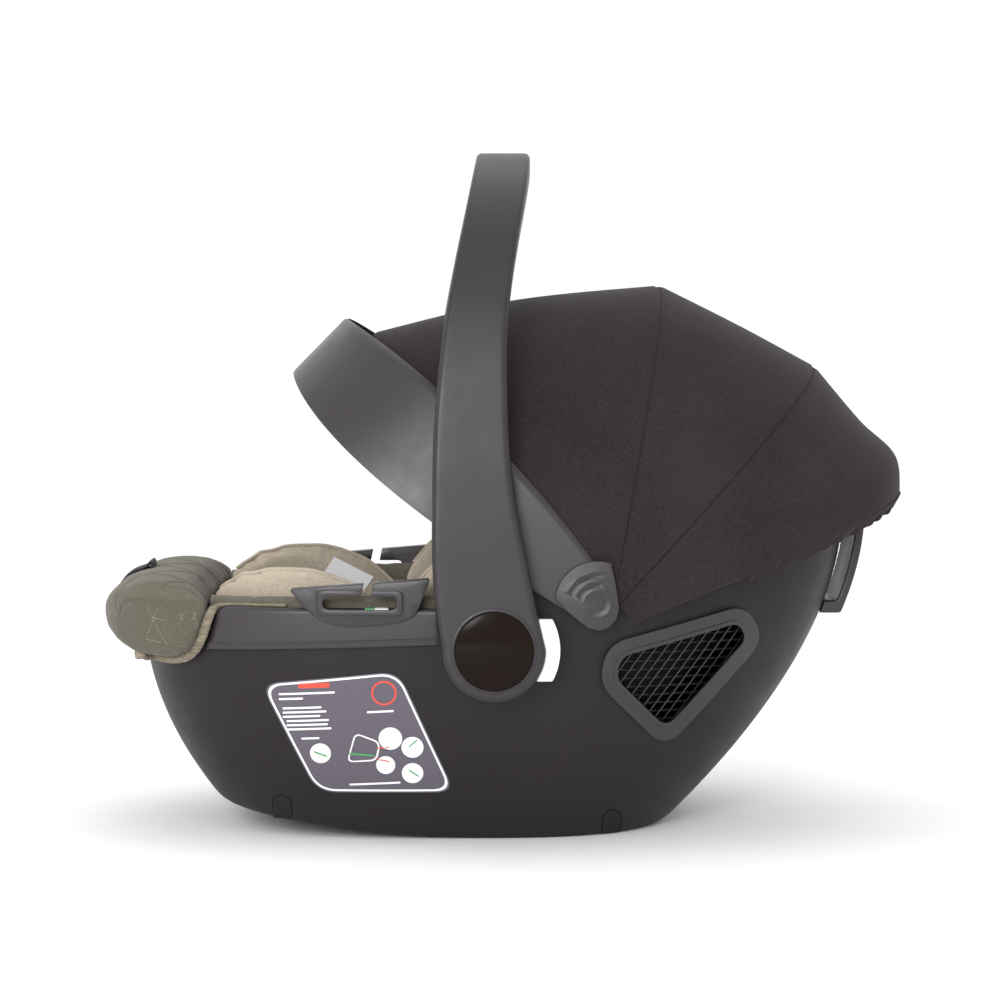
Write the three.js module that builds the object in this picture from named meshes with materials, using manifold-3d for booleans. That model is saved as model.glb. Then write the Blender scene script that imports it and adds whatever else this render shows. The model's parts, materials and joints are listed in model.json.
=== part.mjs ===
// Infant car seat with a carry handle, a folding canopy and a three-point harness.
// Millimetres. +X runs to the head end, -Y is the child's left side, +Z is up, and the
// rocker base stands on Z = 0. The seat is symmetric about the plane Y = 0.
import * as THREE from 'three';
import { mergeVertices } from 'three/addons/utils/BufferGeometryUtils.js';
import Module from 'manifold-3d';

const wasm = await Module();
wasm.setup();

// ---- Gaps between pieces ----
const seatGap = 0.35;          // between pieces that touch on the real seat
const slideGap = 0.4;          // around a piece that slides
const layerGap = 0.6;          // between flat layers that turn past each other

// ---- Shell ----
const shellWall = 3.5;
const shellHalfWidth = 184;    // at the rim, outside
const shellBaseHalfWidth = 124;
const shellFrontFoot = -222;   // front wall at the ground
const shellFrontRim = -306;    // front wall at the rim of the foot end
const shellRearFoot = 143;     // back wall at the ground
const shellRearHigh = 295;     // back wall where it stands upright
const shellRearHeight = 260;
const shellWidestX = -10;
const frontRoundness = 3;      // exponents of the plan's two half ovals
const rearRoundness = 2.4;
const rimFoot = 190;           // rim height around the foot half
const earRise = 28;            // the rim rises to the canopy pivots
const headRise = 94;           // and on to the head end
const rimFlare = 30;           // the head end's rim leans out
const rockerRadius = 1200;
const rockerFlat = [0, 56];    // flat stretch that the seat rests on
const skirtHeight = 22;        // recess under the floor
const floorTop = 26.5;

// ---- Handle and its hubs ----
const hubX = -9.4;
const hubZ = 166.4;
const hubRadius = 41.5;
const hubStandoff = 15;        // from the shell's widest to the hubs' inner faces
const handleThickness = 21;
const handleInner = shellHalfWidth + hubStandoff;
const handleOuter = handleInner + handleThickness;
const handleRise = 395;        // bow centreline above the hub axis
const bowRoundness = 3.2;
const bowWall = 4;
const linerDepth = 6.5;
const capRadius = 31.6;
const capDepth = 2.6;          // let into the hub
const capProud = 1.8;
const toothCount = 24;         // one handle stop every 15 degrees
const toothRoot = 23;
const toothTip = 28;
const lockDepth = 4;           // lock disc's engagement in the fixed ring
const discThickness = 7;
const discTravel = 4.4;
const buttonTravel = 6;
const buttonHalfHeight = 25;
const buttonRadius = 53;
const buttonInnerEnd = 34;     // its straight end, from the hub's axis
const buttonThickness = 7;
const boltRadius = 5;
const boltHeadRadius = 2 * boltRadius;

// ---- Canopy ----
const pivotX = 74;
const pivotZ = 202;
const pinRadius = 3.5;
const eyeRadius = 11;
const seamRootX = 86;          // the fabric gores converge here
const seamRootZ = 195;
const fabricThickness = 1.8;
const canopyRoundness = 2.8;
const ribThickness = 1.6;
const ribWidth = 6;
const visorThickness = 2.4;
const hingeCapThickness = 2.6;

// ---- Soft liner and padding ----
const rimPad = 34;             // from the shell's outside to the padding's inner face
const bowlBottom = 50;
const coverThickness = 6;
const foamThickness = 14.5;
const insertThickness = 12;
const headInsertThickness = 22;

// ---- Harness ----
const strapWidth = 38;
const strapThickness = 2;
const strapSpacing = Math.min(84, 0.4566 * shellHalfWidth); // between the straps' middles
const padThickness = 11;
const padWidth = strapWidth + 16;

// ---- Finishes ----
const finish = (color, roughness, metalness = 0) =>
  new THREE.MeshStandardMaterial({ color, roughness, metalness });
const shellPlastic = finish(0x2b2829, 0.6);
const satinPlastic = finish(0x3a3638, 0.4);
const glossPlastic = finish(0x1f1814, 0.12);
const whitePlastic = finish(0xeceae6, 0.4);
const redPlastic = finish(0xa8322a, 0.4);
const steel = finish(0xb4b6b8, 0.35, 0.9);
const canopyFabric = finish(0x3b3537, 0.95);
const coverFabric = finish(0x7d7c6c, 0.95);
const insertFabric = finish(0x9a927c, 0.95);
const webbing = finish(0x2c2a2c, 0.85);
const foam = finish(0xd9d9d4, 0.9);
const labelFilm = finish(0x4a434e, 0.35);
const rubber = finish(0x1d1c1d, 0.8);

// ---- Making and joining solids ----
const group = new THREE.Group();
const far = 500;               // past the outside of the whole seat
const insideWall = shellHalfWidth - 24; // just inside the shell's side wall
const rimCut = 60;             // side cuts start here, inside the shell and short of its middle
const sides = [{ side: -1, name: 'left' }, { side: 1, name: 'right' }];
const signedPower = (value, power) => Math.sign(value) * Math.abs(value) ** power;
const clamp01 = (value) => Math.min(Math.max(value, 0), 1);
const mix = (a, b, t) => a + (b - a) * t;

function smoothStep(from, to, value) {
  const t = clamp01((value - from) / (to - from));
  return t * t * (3 - 2 * t);
}

function toSolid(geometry) {
  const bare = geometry.clone();
  bare.deleteAttribute('normal');
  bare.deleteAttribute('uv');
  const merged = mergeVertices(bare, 1e-3);
  const vertProperties = new Float32Array(merged.attributes.position.array);
  const triVerts = new Uint32Array(merged.index.array);
  return new wasm.Manifold(new wasm.Mesh({ numProp: 3, vertProperties, triVerts }));
}

function add(name, solid, material) {
  const { vertProperties, triVerts } = solid.getMesh();
  const geometry = new THREE.BufferGeometry();
  geometry.setAttribute('position', new THREE.BufferAttribute(vertProperties, 3));
  geometry.setIndex(new THREE.BufferAttribute(triVerts, 1));
  geometry.computeVertexNormals();
  const mesh = new THREE.Mesh(geometry, material);
  mesh.name = name;
  group.add(mesh);
}

// Moves every vertex of a plain geometry to where place(x, y, z) says
function shaped(geometry, place) {
  const position = geometry.attributes.position;
  for (let i = 0; i < position.count; i += 1) {
    position.setXYZ(i, ...place(position.getX(i), position.getY(i), position.getZ(i)));
  }
  return toSolid(geometry);
}

// A side-view outline, in X and Z, carried across from one Y to another
function across(shape, from, to, curveSegments = 3) {
  const depth = Math.abs(to - from);
  const options = { depth, bevelEnabled: false, curveSegments };
  const geometry = new THREE.ExtrudeGeometry(shape, options);
  geometry.rotateX(Math.PI / 2);
  geometry.translate(0, Math.max(from, to), 0);
  return toSolid(geometry);
}

const outline = (points) => new THREE.Shape(points.map(([x, z]) => new THREE.Vector2(x, z)));

// A polygon with rounded corners; a point may carry its own radius as a third number
function rounded(points, radius) {
  const shape = new THREE.Shape();
  points.forEach(([x, z, own = radius], i) => {
    const corner = new THREE.Vector2(x, z);
    const toBefore = new THREE.Vector2(...points.at(i - 1).slice(0, 2)).sub(corner);
    const toAfter = new THREE.Vector2(...points[(i + 1) % points.length].slice(0, 2)).sub(corner);
    const reach = Math.min(own, toBefore.length() * 0.48, toAfter.length() * 0.48);
    const start = toBefore.setLength(reach).add(corner);
    const end = toAfter.setLength(reach).add(corner);
    if (i === 0) {
      shape.moveTo(start.x, start.y);
    } else {
      shape.lineTo(start.x, start.y);
    }
    shape.quadraticCurveTo(corner.x, corner.y, end.x, end.y);
  });
  shape.closePath();
  return shape;
}

// The same polygon with every edge moved out by a distance (in, if it is negative)
function grown(points, distance) {
  const turn = Math.sign(points.reduce((sum, [x, z], i) => {
    const [nextX, nextZ] = points[(i + 1) % points.length];
    return sum + x * nextZ - nextX * z;
  }, 0));
  const outwardOf = ([x, z], [nextX, nextZ]) =>
    new THREE.Vector2(nextZ - z, x - nextX).normalize().multiplyScalar(turn);
  return points.map((point, i) => {
    const [x, z, ...own] = point;
    const before = outwardOf(points.at(i - 1), point);
    const after = outwardOf(point, points[(i + 1) % points.length]);
    const miter = before.clone().add(after).normalize();
    miter.multiplyScalar(distance / miter.dot(after));
    return [x + miter.x, z + miter.y, ...own];
  });
}

// A box between two corners
function block([x0, y0, z0], [x1, y1, z1]) {
  const geometry = new THREE.BoxGeometry(x1 - x0, y1 - y0, z1 - z0);
  geometry.translate((x0 + x1) / 2, (y0 + y1) / 2, (z0 + z1) / 2);
  return toSolid(geometry);
}

// A block on one side, with its Y given as distances from the middle plane
function sideBlock(side, [x0, x1], [inner, outer], [z0, z1]) {
  const [y0, y1] = side < 0 ? [-outer, -inner] : [inner, outer];
  return block([x0, y0, z0], [x1, y1, z1]);
}

// A round piece on an axis along Y, between two distances from the middle plane
function disc(side, [x, z], radius, [inner, outer], segments = 28) {
  const geometry = new THREE.CylinderGeometry(radius, radius, outer - inner, segments);
  geometry.translate(x, (side * (inner + outer)) / 2, z);
  return toSolid(geometry);
}

const below = (z) => block([-far, -far, -far], [far, far, z]);
const above = (z) => block([-far, -far, z], [far, far, far]);
const join = (solids) => solids.reduce((sum, solid) => sum.add(solid));

// ---- The shell's form, which the rim pieces, vents, labels and feet follow ----
function shellRing(z) {
  const height = Math.max(z, 0);
  const frontShare = 1 - (1 - Math.min(height / rimFoot, 1)) ** 2.1;
  const rearShare = 1 - (1 - Math.min(height / shellRearHeight, 1)) ** 1.75;
  const sideShare = 1 - (1 - Math.min(height / (rimFoot + 40), 1)) ** 2.2;
  const flare = rimFlare * Math.max((height - shellRearHeight) / 45, 0) ** 1.5;
  return {
    front: mix(shellFrontFoot, shellFrontRim, frontShare),
    rear: mix(shellRearFoot, shellRearHigh, rearShare) + flare,
    half: mix(shellBaseHalfWidth, shellHalfWidth, sideShare),
  };
}

// Levels stand closer together near the base, where the walls curve most
const levelBunching = 1.4;

// A stack of level rings, whose plan is two half ovals that meet at the widest place
function stack([bottom, top], [segments, levels], ring, [alongOut, sideOut], bottomOut = 0) {
  const geometry = new THREE.CylinderGeometry(1, 1, 1, segments, levels);
  return shaped(geometry, (x, y, z) => {
    const height = mix(bottom, top, clamp01(y + 0.5) ** levelBunching);
    const { front, rear, half } = ring(height);
    const level = y <= -0.5 ? bottom - bottomOut : Math.max(height, bottom - bottomOut);
    if (Math.hypot(x, z) < 0.5) {
      return [(front + rear) / 2, 0, level];
    }
    const reach = z > 0 ? rear - shellWidestX : shellWidestX - front;
    const power = 2 / (z > 0 ? rearRoundness : frontRoundness);
    const along = (reach + alongOut) * signedPower(z, power);
    return [shellWidestX + along, (half + sideOut) * signedPower(x, power), level];
  });
}

const shellAt = (out) => stack([-8, 332], [32, 11], shellRing, [out, out]);

function rimHeight(x) {
  return rimFoot + earRise * smoothStep(-30, 40, x) + headRise * smoothStep(90, 345, x);
}

function rockerHeight(x) {
  const past = Math.max(rockerFlat[0] - x, x - rockerFlat[1], 0);
  return past ** 2 / (2 * rockerRadius);
}

// Side view of the shell: the rocker below, and the rim, raised by a distance, above
function shellSide(rimRaise) {
  const rim = [];
  const rocker = [];
  for (let x = -360; x <= 380; x += 20) {
    rim.unshift([x, rimHeight(x) + rimRaise]);
  }
  for (let x = -360; x < rockerFlat[0]; x += 30) {
    rocker.push([x, rockerHeight(x)]);
  }
  rockerFlat.forEach((x) => rocker.push([x, 0]));
  for (let x = rockerFlat[1] + 30; x <= 386; x += 30) {
    rocker.push([x, rockerHeight(x)]);
  }
  return across(outline([...rocker, ...rim]), -far, far);
}

const hub = [hubX, hubZ];
const pivot = [pivotX, pivotZ];
const guideOutline = [
  [-174, 213, 3], [-160, 196, 6], [-146, 186, 10], [-125, 183, 12], [-88, 186, 12],
  [-72, 192, 8], [-60, 222, 3],
];
const ventOutline = [[84, 168], [199, 197], [216, 166], [134, 76], [76, 135]];
const ventOpening = grown(ventOutline, -13);
const footX = [-184, 91];
const footHalfWidth = 8;
const footHeight = 22;

function footArch(x, extra) {
  const half = footHalfWidth + extra;
  const top = rockerHeight(x) + footHeight - footHalfWidth;
  const arch = new THREE.Shape();
  arch.moveTo(x - half, -20);
  arch.lineTo(x + half, -20);
  arch.lineTo(x + half, top);
  arch.absarc(x, top, half, 0, Math.PI, false);
  arch.closePath();
  return arch;
}

const footDepth = 8;

// ---- Outer shell ----
const shellForm = shellAt(0).intersect(shellSide(0));
const shellInside = shellAt(-shellWall).intersect(above(floorTop));
const shellRecess = shellAt(-shellWall - 1).intersect(below(skirtHeight));
let shell = shellForm.subtract(shellInside).subtract(shellRecess);
for (const { side } of sides) {
  const wide = [side * rimCut, side * far];
  shell = shell.subtract(across(rounded(grown(guideOutline, seatGap), 6), ...wide));
  shell = shell.subtract(across(rounded(ventOpening, 12), ...wide));
  shell = shell.subtract(disc(side, hub, boltRadius + slideGap, [insideWall - 20, far], 16));
  shell = shell.subtract(disc(side, pivot, pinRadius + slideGap, [insideWall - 20, far], 16));
  for (const x of footX) {
    const notch = across(footArch(x, seatGap), ...wide);
    shell = shell.subtract(notch.subtract(shellAt(-footDepth - seatGap)));
  }
}
add('outer_shell', shell, shellPlastic);

// ---- Rim trims and lap belt guides ----
const trimThickness = 5;
const trimLip = 2.6;
const trimOutline = [[-244, 161], [-51, 167.5], [-51, 197], [-235, 197, 14]];
const guideOutside = 10;
const guideInside = 6;
const slotOutline = [[-147, 197, 5.4], [-87, 197, 5.4], [-87, 208, 5.4], [-147, 208, 5.4]];
const gapOutline = [[-117, 206], [-109, 206], [-103, 230], [-111, 230]];
const trimInset = -(shellWall + seatGap + trimLip);
const trimBand = shellAt(trimThickness).subtract(shellAt(trimInset));
const rimChannel = shellAt(seatGap).subtract(shellAt(-shellWall - seatGap))
  .intersect(below(rimFoot + seatGap));
const lowInside = shellAt(-shellWall - seatGap / 2).intersect(below(rimFoot - 12));
const guideBand = shellAt(guideOutside).subtract(shellAt(-guideInside));
for (const { side, name } of sides) {
  const wide = [side * rimCut, side * far];
  const guideCut = across(rounded(grown(guideOutline, seatGap), 6), ...wide);
  const trim = trimBand.intersect(across(rounded(trimOutline, 3), ...wide))
    .subtract(rimChannel).subtract(lowInside).subtract(guideCut);
  add(`rail_trim_${name}`, trim, satinPlastic);
  const guide = guideBand.intersect(across(rounded(guideOutline, 6), ...wide))
    .subtract(across(rounded(slotOutline, 5.4), ...wide))
    .subtract(across(outline(gapOutline), ...wide));
  add(`belt_guide_${name}`, guide, satinPlastic);
}

// ---- Handle lock: fixed ring, sliding disc, spring and bolt ----
function toothedOutline(extra) {
  const points = [];
  for (let i = 0; i < toothCount; i += 1) {
    const middle = ((i + 0.5) * 2 * Math.PI) / toothCount;
    const half = Math.PI / toothCount;
    const spread = extra / toothTip;
    const corners = [
      [toothRoot, -0.72 * half - spread], [toothTip, -0.42 * half - spread],
      [toothTip, 0.42 * half + spread], [toothRoot, 0.72 * half + spread],
    ];
    for (const [radius, turn] of corners) {
      const reach = radius + extra;
      const angle = middle + turn;
      points.push([hubX + reach * Math.cos(angle), hubZ + reach * Math.sin(angle)]);
    }
  }
  return outline(points);
}

const ringRadius = 36;
const ringOuter = handleInner - layerGap;
const discInner = ringOuter - lockDepth;
const discOuter = discInner + discThickness;
const pocketOuter = discOuter + discTravel + slideGap;
const buttonInner = pocketOuter + 0.8;
const buttonOuter = buttonInner + buttonThickness;
const boltHeadInner = buttonInner + 2;
const boltHeadThickness = 6;
const springRadius = 9;
const springWire = 1.2;

function lockSpring(side, from, to) {
  const turns = 2.5;
  const route = [];
  for (let i = 0; i <= turns * 12; i += 1) {
    const angle = (i * Math.PI) / 6;
    const y = mix(from, to, i / (turns * 12));
    route.push(new THREE.Vector3(
      hubX + springRadius * Math.cos(angle), side * y, hubZ + springRadius * Math.sin(angle),
    ));
  }
  const section = new THREE.Shape().absarc(0, 0, springWire / 2, 0, 2 * Math.PI);
  return toSolid(new THREE.ExtrudeGeometry(section, {
    steps: turns * 8, curveSegments: 2, extrudePath: new THREE.CatmullRomCurve3(route),
  }));
}

for (const { side, name } of sides) {
  const through = [insideWall - 10, far];
  const shank = disc(side, hub, boltRadius + slideGap, through, 16);
  const ring = disc(side, hub, ringRadius, [insideWall, ringOuter])
    .subtract(shellAt(seatGap))
    .subtract(across(toothedOutline(seatGap), side * (discInner - seatGap), side * far))
    .subtract(shank);
  add(`lock_ring_${name}`, ring, steel);
  const cup = disc(side, hub, springRadius + 2, [discInner + 2, far], 20);
  const lockDisc = across(toothedOutline(0), side * discInner, side * discOuter)
    .subtract(shank).subtract(cup);
  add(`lock_disc_${name}`, lockDisc, steel);
  add(`lock_spring_${name}`, lockSpring(side, discInner + 3.2, pocketOuter - 1), steel);
  const nutInner = insideWall + 6;
  const nut = disc(side, hub, boltRadius + 4, [nutInner, nutInner + 14], 6)
    .intersect(shellAt(-shellWall - seatGap));
  const bolt = disc(side, hub, boltRadius, [nutInner, boltHeadInner + 1], 16)
    .add(disc(side, hub, boltHeadRadius,
      [boltHeadInner + seatGap, boltHeadInner + boltHeadThickness], 20))
    .add(nut);
  add(`pivot_bolt_${name}`, bolt, steel);
  const cap = disc(side, hub, capRadius, [handleOuter - capDepth, handleOuter + capProud], 28);
  add(`hub_cap_${name}`, cap, glossPlastic);
  const buttonBar = sideBlock(
    side, [hubX + buttonInnerEnd, hubX + 60], [buttonInner, buttonOuter],
    [hubZ - buttonHalfHeight, hubZ + buttonHalfHeight],
  );
  add(`release_button_${name}`,
    buttonBar.intersect(disc(side, hub, buttonRadius, [insideWall, far], 40)), whitePlastic);
}

// ---- Carry handle ----
const arc = (points) => new THREE.SplineCurve(points.map(([x, y]) => new THREE.Vector2(x, y)));
// Share of the rise against the bow's middle in X, and against its width
const bowMiddles = arc([[0, -9.4], [0.12, -18], [0.32, -26], [0.5, -27], [0.7, -21], [1, 1.7]]);
const bowWidths = arc([[0, 83], [0.12, 79], [0.2, 74], [0.32, 65], [0.5, 57.5], [0.72, 49],
  [1, 45]]);
const bowThickness = handleOuter - handleInner;
const bowHalf = (handleInner + handleOuter) / 2;

function valueAt(curve, share) {
  let low = 0;
  let high = 1;
  for (let i = 0; i < 24; i += 1) {
    const middle = (low + high) / 2;
    if (curve.getPoint(middle).x < share) {
      low = middle;
    } else {
      high = middle;
    }
  }
  return curve.getPoint(low).y;
}

// Middle of the bow at a share of its sweep, from the left hub over to the right one
function bowPoint(t) {
  const angle = (Math.PI * (1 - Math.cos(Math.PI * clamp01(t)))) / 2;
  const power = 2 / bowRoundness;
  const y = -bowHalf * signedPower(Math.cos(angle), power);
  const z = hubZ + handleRise * Math.abs(Math.sin(angle)) ** power;
  return new THREE.Vector2(y, z);
}

// A bar along the bow, its section given by its inner and outer face and its width
function bowBar([from, to], [segments, steps], [inFace, outFace], narrower) {
  const geometry = new THREE.CylinderGeometry(1, 1, 1, segments, steps);
  const depth = (inFace - outFace) / 2;
  const middle = (inFace + outFace) / 2;
  return shaped(geometry, (x, y, z) => {
    const t = mix(from, to, y + 0.5);
    const at = bowPoint(t);
    const ahead = bowPoint(t + 0.004).sub(bowPoint(t - 0.004)).normalize();
    const share = (at.y - hubZ) / handleRise;
    const halfWidth = valueAt(bowWidths, share) / 2 - narrower;
    const inward = middle + depth * signedPower(x, 0.5);
    return [
      valueAt(bowMiddles, share) + halfWidth * signedPower(z, 0.5),
      at.x + ahead.y * inward,
      at.y - ahead.x * inward,
    ];
  });
}

const halfBow = bowThickness / 2;
const linerReach = [0.13, 0.87];
let bow = bowBar([0.004, 0.996], [12, 28], [halfBow, -halfBow], 0);
bow = bow.subtract(bowBar(linerReach, [8, 20], [halfBow + 9, -halfBow + bowWall], bowWall));
for (const { side } of sides) {
  bow = bow.add(disc(side, hub, hubRadius, [handleInner, handleOuter], 32));
}
for (const { side } of sides) {
  const toothed = across(toothedOutline(seatGap), side * (handleInner - 5), side * pocketOuter);
  const buttonPocket = sideBlock(
    side, [hubX + buttonInnerEnd - buttonTravel - slideGap, hubX + far],
    [buttonInner - seatGap, buttonOuter + seatGap],
    [hubZ - buttonHalfHeight - slideGap, hubZ + buttonHalfHeight + slideGap],
  );
  bow = bow.subtract(toothed).subtract(buttonPocket)
    .subtract(disc(side, hub, boltRadius + slideGap, [handleInner - 9, boltHeadInner + 1], 16))
    .subtract(disc(side, hub, boltHeadRadius + 1, [boltHeadInner, handleOuter], 20))
    .subtract(disc(side, hub, capRadius + seatGap, [handleOuter - capDepth - seatGap, far], 28));
}
add('handle_bow', bow, satinPlastic);
add('handle_liner',
  bowBar([linerReach[0] + 0.003, linerReach[1] - 0.003], [8, 20],
    [halfBow - 1, halfBow - 1 - linerDepth], bowWall + 0.8),
  satinPlastic);

// ---- Canopy ----
const ribGap = 0.5;
const ribSpace = 0.4;          // between the two ribs' eyes
const fabricOuter = shellHalfWidth + 2 * ribGap + 2 * (ribThickness + ribSpace) + fabricThickness;
const visorInner = fabricOuter + layerGap;
const visorOuter = visorInner + visorThickness;
const hingeCapInner = visorOuter + layerGap;
const hingeCapOuter = hingeCapInner + hingeCapThickness;

// A hoop over the seat: share 0 at its root beside the seat, 1 over the middle plane
function hoop(t) {
  const angle = (Math.PI * (1 - Math.cos(Math.PI * t))) / 2;
  const power = 2 / canopyRoundness;
  return [Math.abs(Math.sin(angle)) ** power, -signedPower(Math.cos(angle), power)];
}

// A curved sheet: u runs from one edge curve to the other, v over the hoop, w inward
function canopySheet([uSteps, vSteps], vMargin, surface) {
  const geometry = new THREE.BoxGeometry(1, 1, 1, uSteps, vSteps, 1);
  return shaped(geometry, (x, y, z) => {
    const [share, sideShare] = hoop(mix(vMargin, 1 - vMargin, y + 0.5));
    return surface(x + 0.5, share, sideShare, 0.5 - z);
  });
}

// Rigid visor band: its lower and upper edge in side view, from pivot to middle plane
const visorLow = new THREE.CubicBezierCurve(
  new THREE.Vector2(60, 190), new THREE.Vector2(-62, 262),
  new THREE.Vector2(-150, 332), new THREE.Vector2(-177, 387),
);
const visorHigh = new THREE.CubicBezierCurve(
  new THREE.Vector2(86, 214), new THREE.Vector2(30, 300),
  new THREE.Vector2(-62, 392), new THREE.Vector2(-132, 433),
);
const visorArm = canopySheet([2, 22], 0.012, (u, share, sideShare, w) => {
  const low = visorLow.getPoint(share);
  const high = visorHigh.getPoint(share);
  const at = low.lerp(high, u);
  const inward = visorThickness * w;
  const middle = new THREE.Vector2(pivotX, pivotZ);
  const shrink = 1 - (inward * share) / Math.max(at.distanceTo(middle), 1);
  at.sub(middle).multiplyScalar(shrink).add(middle);
  return [at.x, (visorOuter - inward) * sideShare, at.y];
});
let visor = visorArm;
for (const { side } of sides) {
  visor = visor.add(disc(side, pivot, eyeRadius + 3, [visorInner, visorOuter], 24));
}
for (const { side } of sides) {
  visor = visor.subtract(disc(side, pivot, pinRadius + slideGap, [insideWall + 10, far], 16));
}
add('visor', visor, satinPlastic);

const hingeCapOutline = [[27, 214, 6], [50, 223, 16], [78, 234, 6], [84, 204, 9], [66, 184, 9]];
for (const { side, name } of sides) {
  const cap = across(rounded(hingeCapOutline, 8), side * hingeCapInner, side * hingeCapOuter);
  add(`canopy_hinge_cap_${name}`, cap, satinPlastic);
  const head = disc(side, pivot, pinRadius + 3, [insideWall, shellHalfWidth], 16)
    .intersect(shellAt(-shellWall - seatGap));
  const pin = disc(side, pivot, pinRadius, [insideWall, visorOuter + seatGap / 2], 16).add(head)
    .subtract(shellAt(-shellWall - 3));
  add(`canopy_pin_${name}`, pin, steel);
}

// Ribs: half hoops about the pivots, under the fabric's seams
function canopyRib([tipX, tipZ], inner) {
  const toTip = new THREE.Vector2(tipX - pivotX, tipZ - pivotZ);
  const reach = toTip.length() - fabricThickness - 6.5;
  const along = toTip.normalize();
  let rib = canopySheet([1, 16], 0.02, (u, share, sideShare, w) => {
    const radius = (reach - ribThickness * w) * share;
    const offset = (u - 0.5) * ribWidth;
    return [
      pivotX + along.x * radius + along.y * offset,
      (inner + ribThickness * (1 - w) - 3 * share) * sideShare,
      pivotZ + along.y * radius - along.x * offset,
    ];
  });
  for (const { side } of sides) {
    rib = rib.add(disc(side, pivot, eyeRadius - 2, [inner, inner + ribThickness], 20));
  }
  for (const { side } of sides) {
    rib = rib.subtract(disc(side, pivot, pinRadius + slideGap, [insideWall + 10, far], 16));
  }
  return rib;
}

const middleTip = [136, 460];
const rearTip = [269, 391];
const rearRibInner = shellHalfWidth + ribGap;
const middleRibInner = rearRibInner + ribThickness + ribSpace;
add('canopy_rib_middle', canopyRib(middleTip, middleRibInner), satinPlastic);
add('canopy_rib_rear', canopyRib(rearTip, rearRibInner), satinPlastic);

// Fabric gores: each has a root beside the pivot and a line of tips in the middle plane
function gore(roots, tips, steps, seams) {
  const rootLine = new THREE.LineCurve(...roots.map((p) => new THREE.Vector2(...p)));
  const tipLine = arc(tips);
  return canopySheet([steps, 16], 0.066, (u, share, sideShare, w) => {
    const root = rootLine.getPoint(u);
    const tip = tipLine.getPoint(u);
    const direction = tip.clone().sub(root).normalize();
    const inward = fabricThickness * w;
    const reach = tip.distanceTo(root) - inward;
    const seam = mix(seams[0], -seams[1], u);
    return [
      root.x + direction.x * reach * share + direction.y * seam,
      (fabricOuter - inward) * sideShare,
      root.y + direction.y * reach * share - direction.x * seam,
    ];
  });
}

const seamRoot = [seamRootX, seamRootZ];
const hemRoot = [98, 183];
add('canopy_front_panel',
  gore([[78, 210], seamRoot], [[-110, 419], [10, 447], middleTip], 4, [0, seatGap]),
  canopyFabric);
add('canopy_middle_panel',
  gore([seamRoot, seamRoot], [middleTip, [206, 425], rearTip], 2, [seatGap, seatGap]),
  canopyFabric);
add('canopy_rear_panel',
  gore([seamRoot, hemRoot], [rearTip, [308, 345], [338, 316], [342, 283]], 4, [seatGap, 0]),
  canopyFabric);

// ---- Shoulder belt guide on the back ----
const backGuideHalf = 38;
const backGuideProud = 17;     // outside the shell
const backChannelProud = 12;
const backGuideSide = [[250, 178], [330, 178], [330, 260], [250, 260]];
const backChannel = block([200, -60, 190], [400, 60, 248]).intersect(shellAt(backChannelProud));
const backGuide = shellAt(backGuideProud).subtract(shellAt(seatGap))
  .intersect(across(outline(backGuideSide), -backGuideHalf, backGuideHalf))
  .subtract(backChannel);
add('rear_belt_guide', backGuide, satinPlastic);

// ---- Vents, labels and foot plugs ----
const ventProud = 3.2;
const ventBand = shellAt(ventProud).subtract(shellAt(seatGap));
const louvreBand = shellAt(-shellWall - seatGap).subtract(shellAt(-shellWall - 3));
const labelOutline = [[-199, 134], [-86, 146], [-40, 42], [-154, 41]];
const labelBand = shellAt(0.9).subtract(shellAt(0.3));
const footBand = shellAt(1).subtract(shellAt(-footDepth)).intersect(shellSide(0));
const louvrePitch = 14;
const louvreOpening = 9;
for (const { side, name } of sides) {
  const wide = [side * rimCut, side * far];
  const frame = ventBand.intersect(across(rounded(ventOutline, 20), ...wide))
    .subtract(across(rounded(ventOpening, 12), ...wide));
  add(`vent_frame_${name}`, frame, satinPlastic);
  const slots = [];
  for (let z = 84; z < 190; z += louvrePitch) {
    slots.push(sideBlock(side, [60, 240], [60, far], [z, z + louvreOpening]));
  }
  const openings = join(slots).intersect(across(rounded(grown(ventOpening, -1), 12), ...wide));
  const louvres = louvreBand.intersect(across(rounded(grown(ventOpening, 6), 14), ...wide))
    .subtract(openings);
  add(`vent_louvres_${name}`, louvres, satinPlastic);
  add(`info_label_${name}`,
    labelBand.intersect(across(rounded(labelOutline, 16), ...wide)), labelFilm);
  footX.forEach((x, i) => {
    const end = i === 0 ? 'front' : 'rear';
    const plug = footBand.intersect(across(footArch(x, 0), ...wide));
    add(`foot_plug_${end}_${name}`, plug, rubber);
  });
}

// ---- Foam liner, seat cover and its foot flap ----
const bowlFront = shellFrontRim + rimPad;
const bowlRear = shellRearHigh - 15;
const bowlHalf = shellHalfWidth - rimPad;

function bowlRing(z) {
  const height = Math.max(z, bowlBottom);
  const toRim = clamp01((rimFoot - height) / (rimFoot - bowlBottom));
  const climb = (height - bowlBottom) / 240;
  return {
    front: mix(bowlFront, -62, toRim ** 2),
    rear: mix(18, bowlRear, climb ** 0.6),
    half: mix(bowlHalf, 80, toRim ** 2) + 0.08 * Math.max(height - rimFoot, 0),
  };
}

function bowlAt(out) {
  return stack([bowlBottom, 335], [20, 7], bowlRing, [out, out], out);
}

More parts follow.
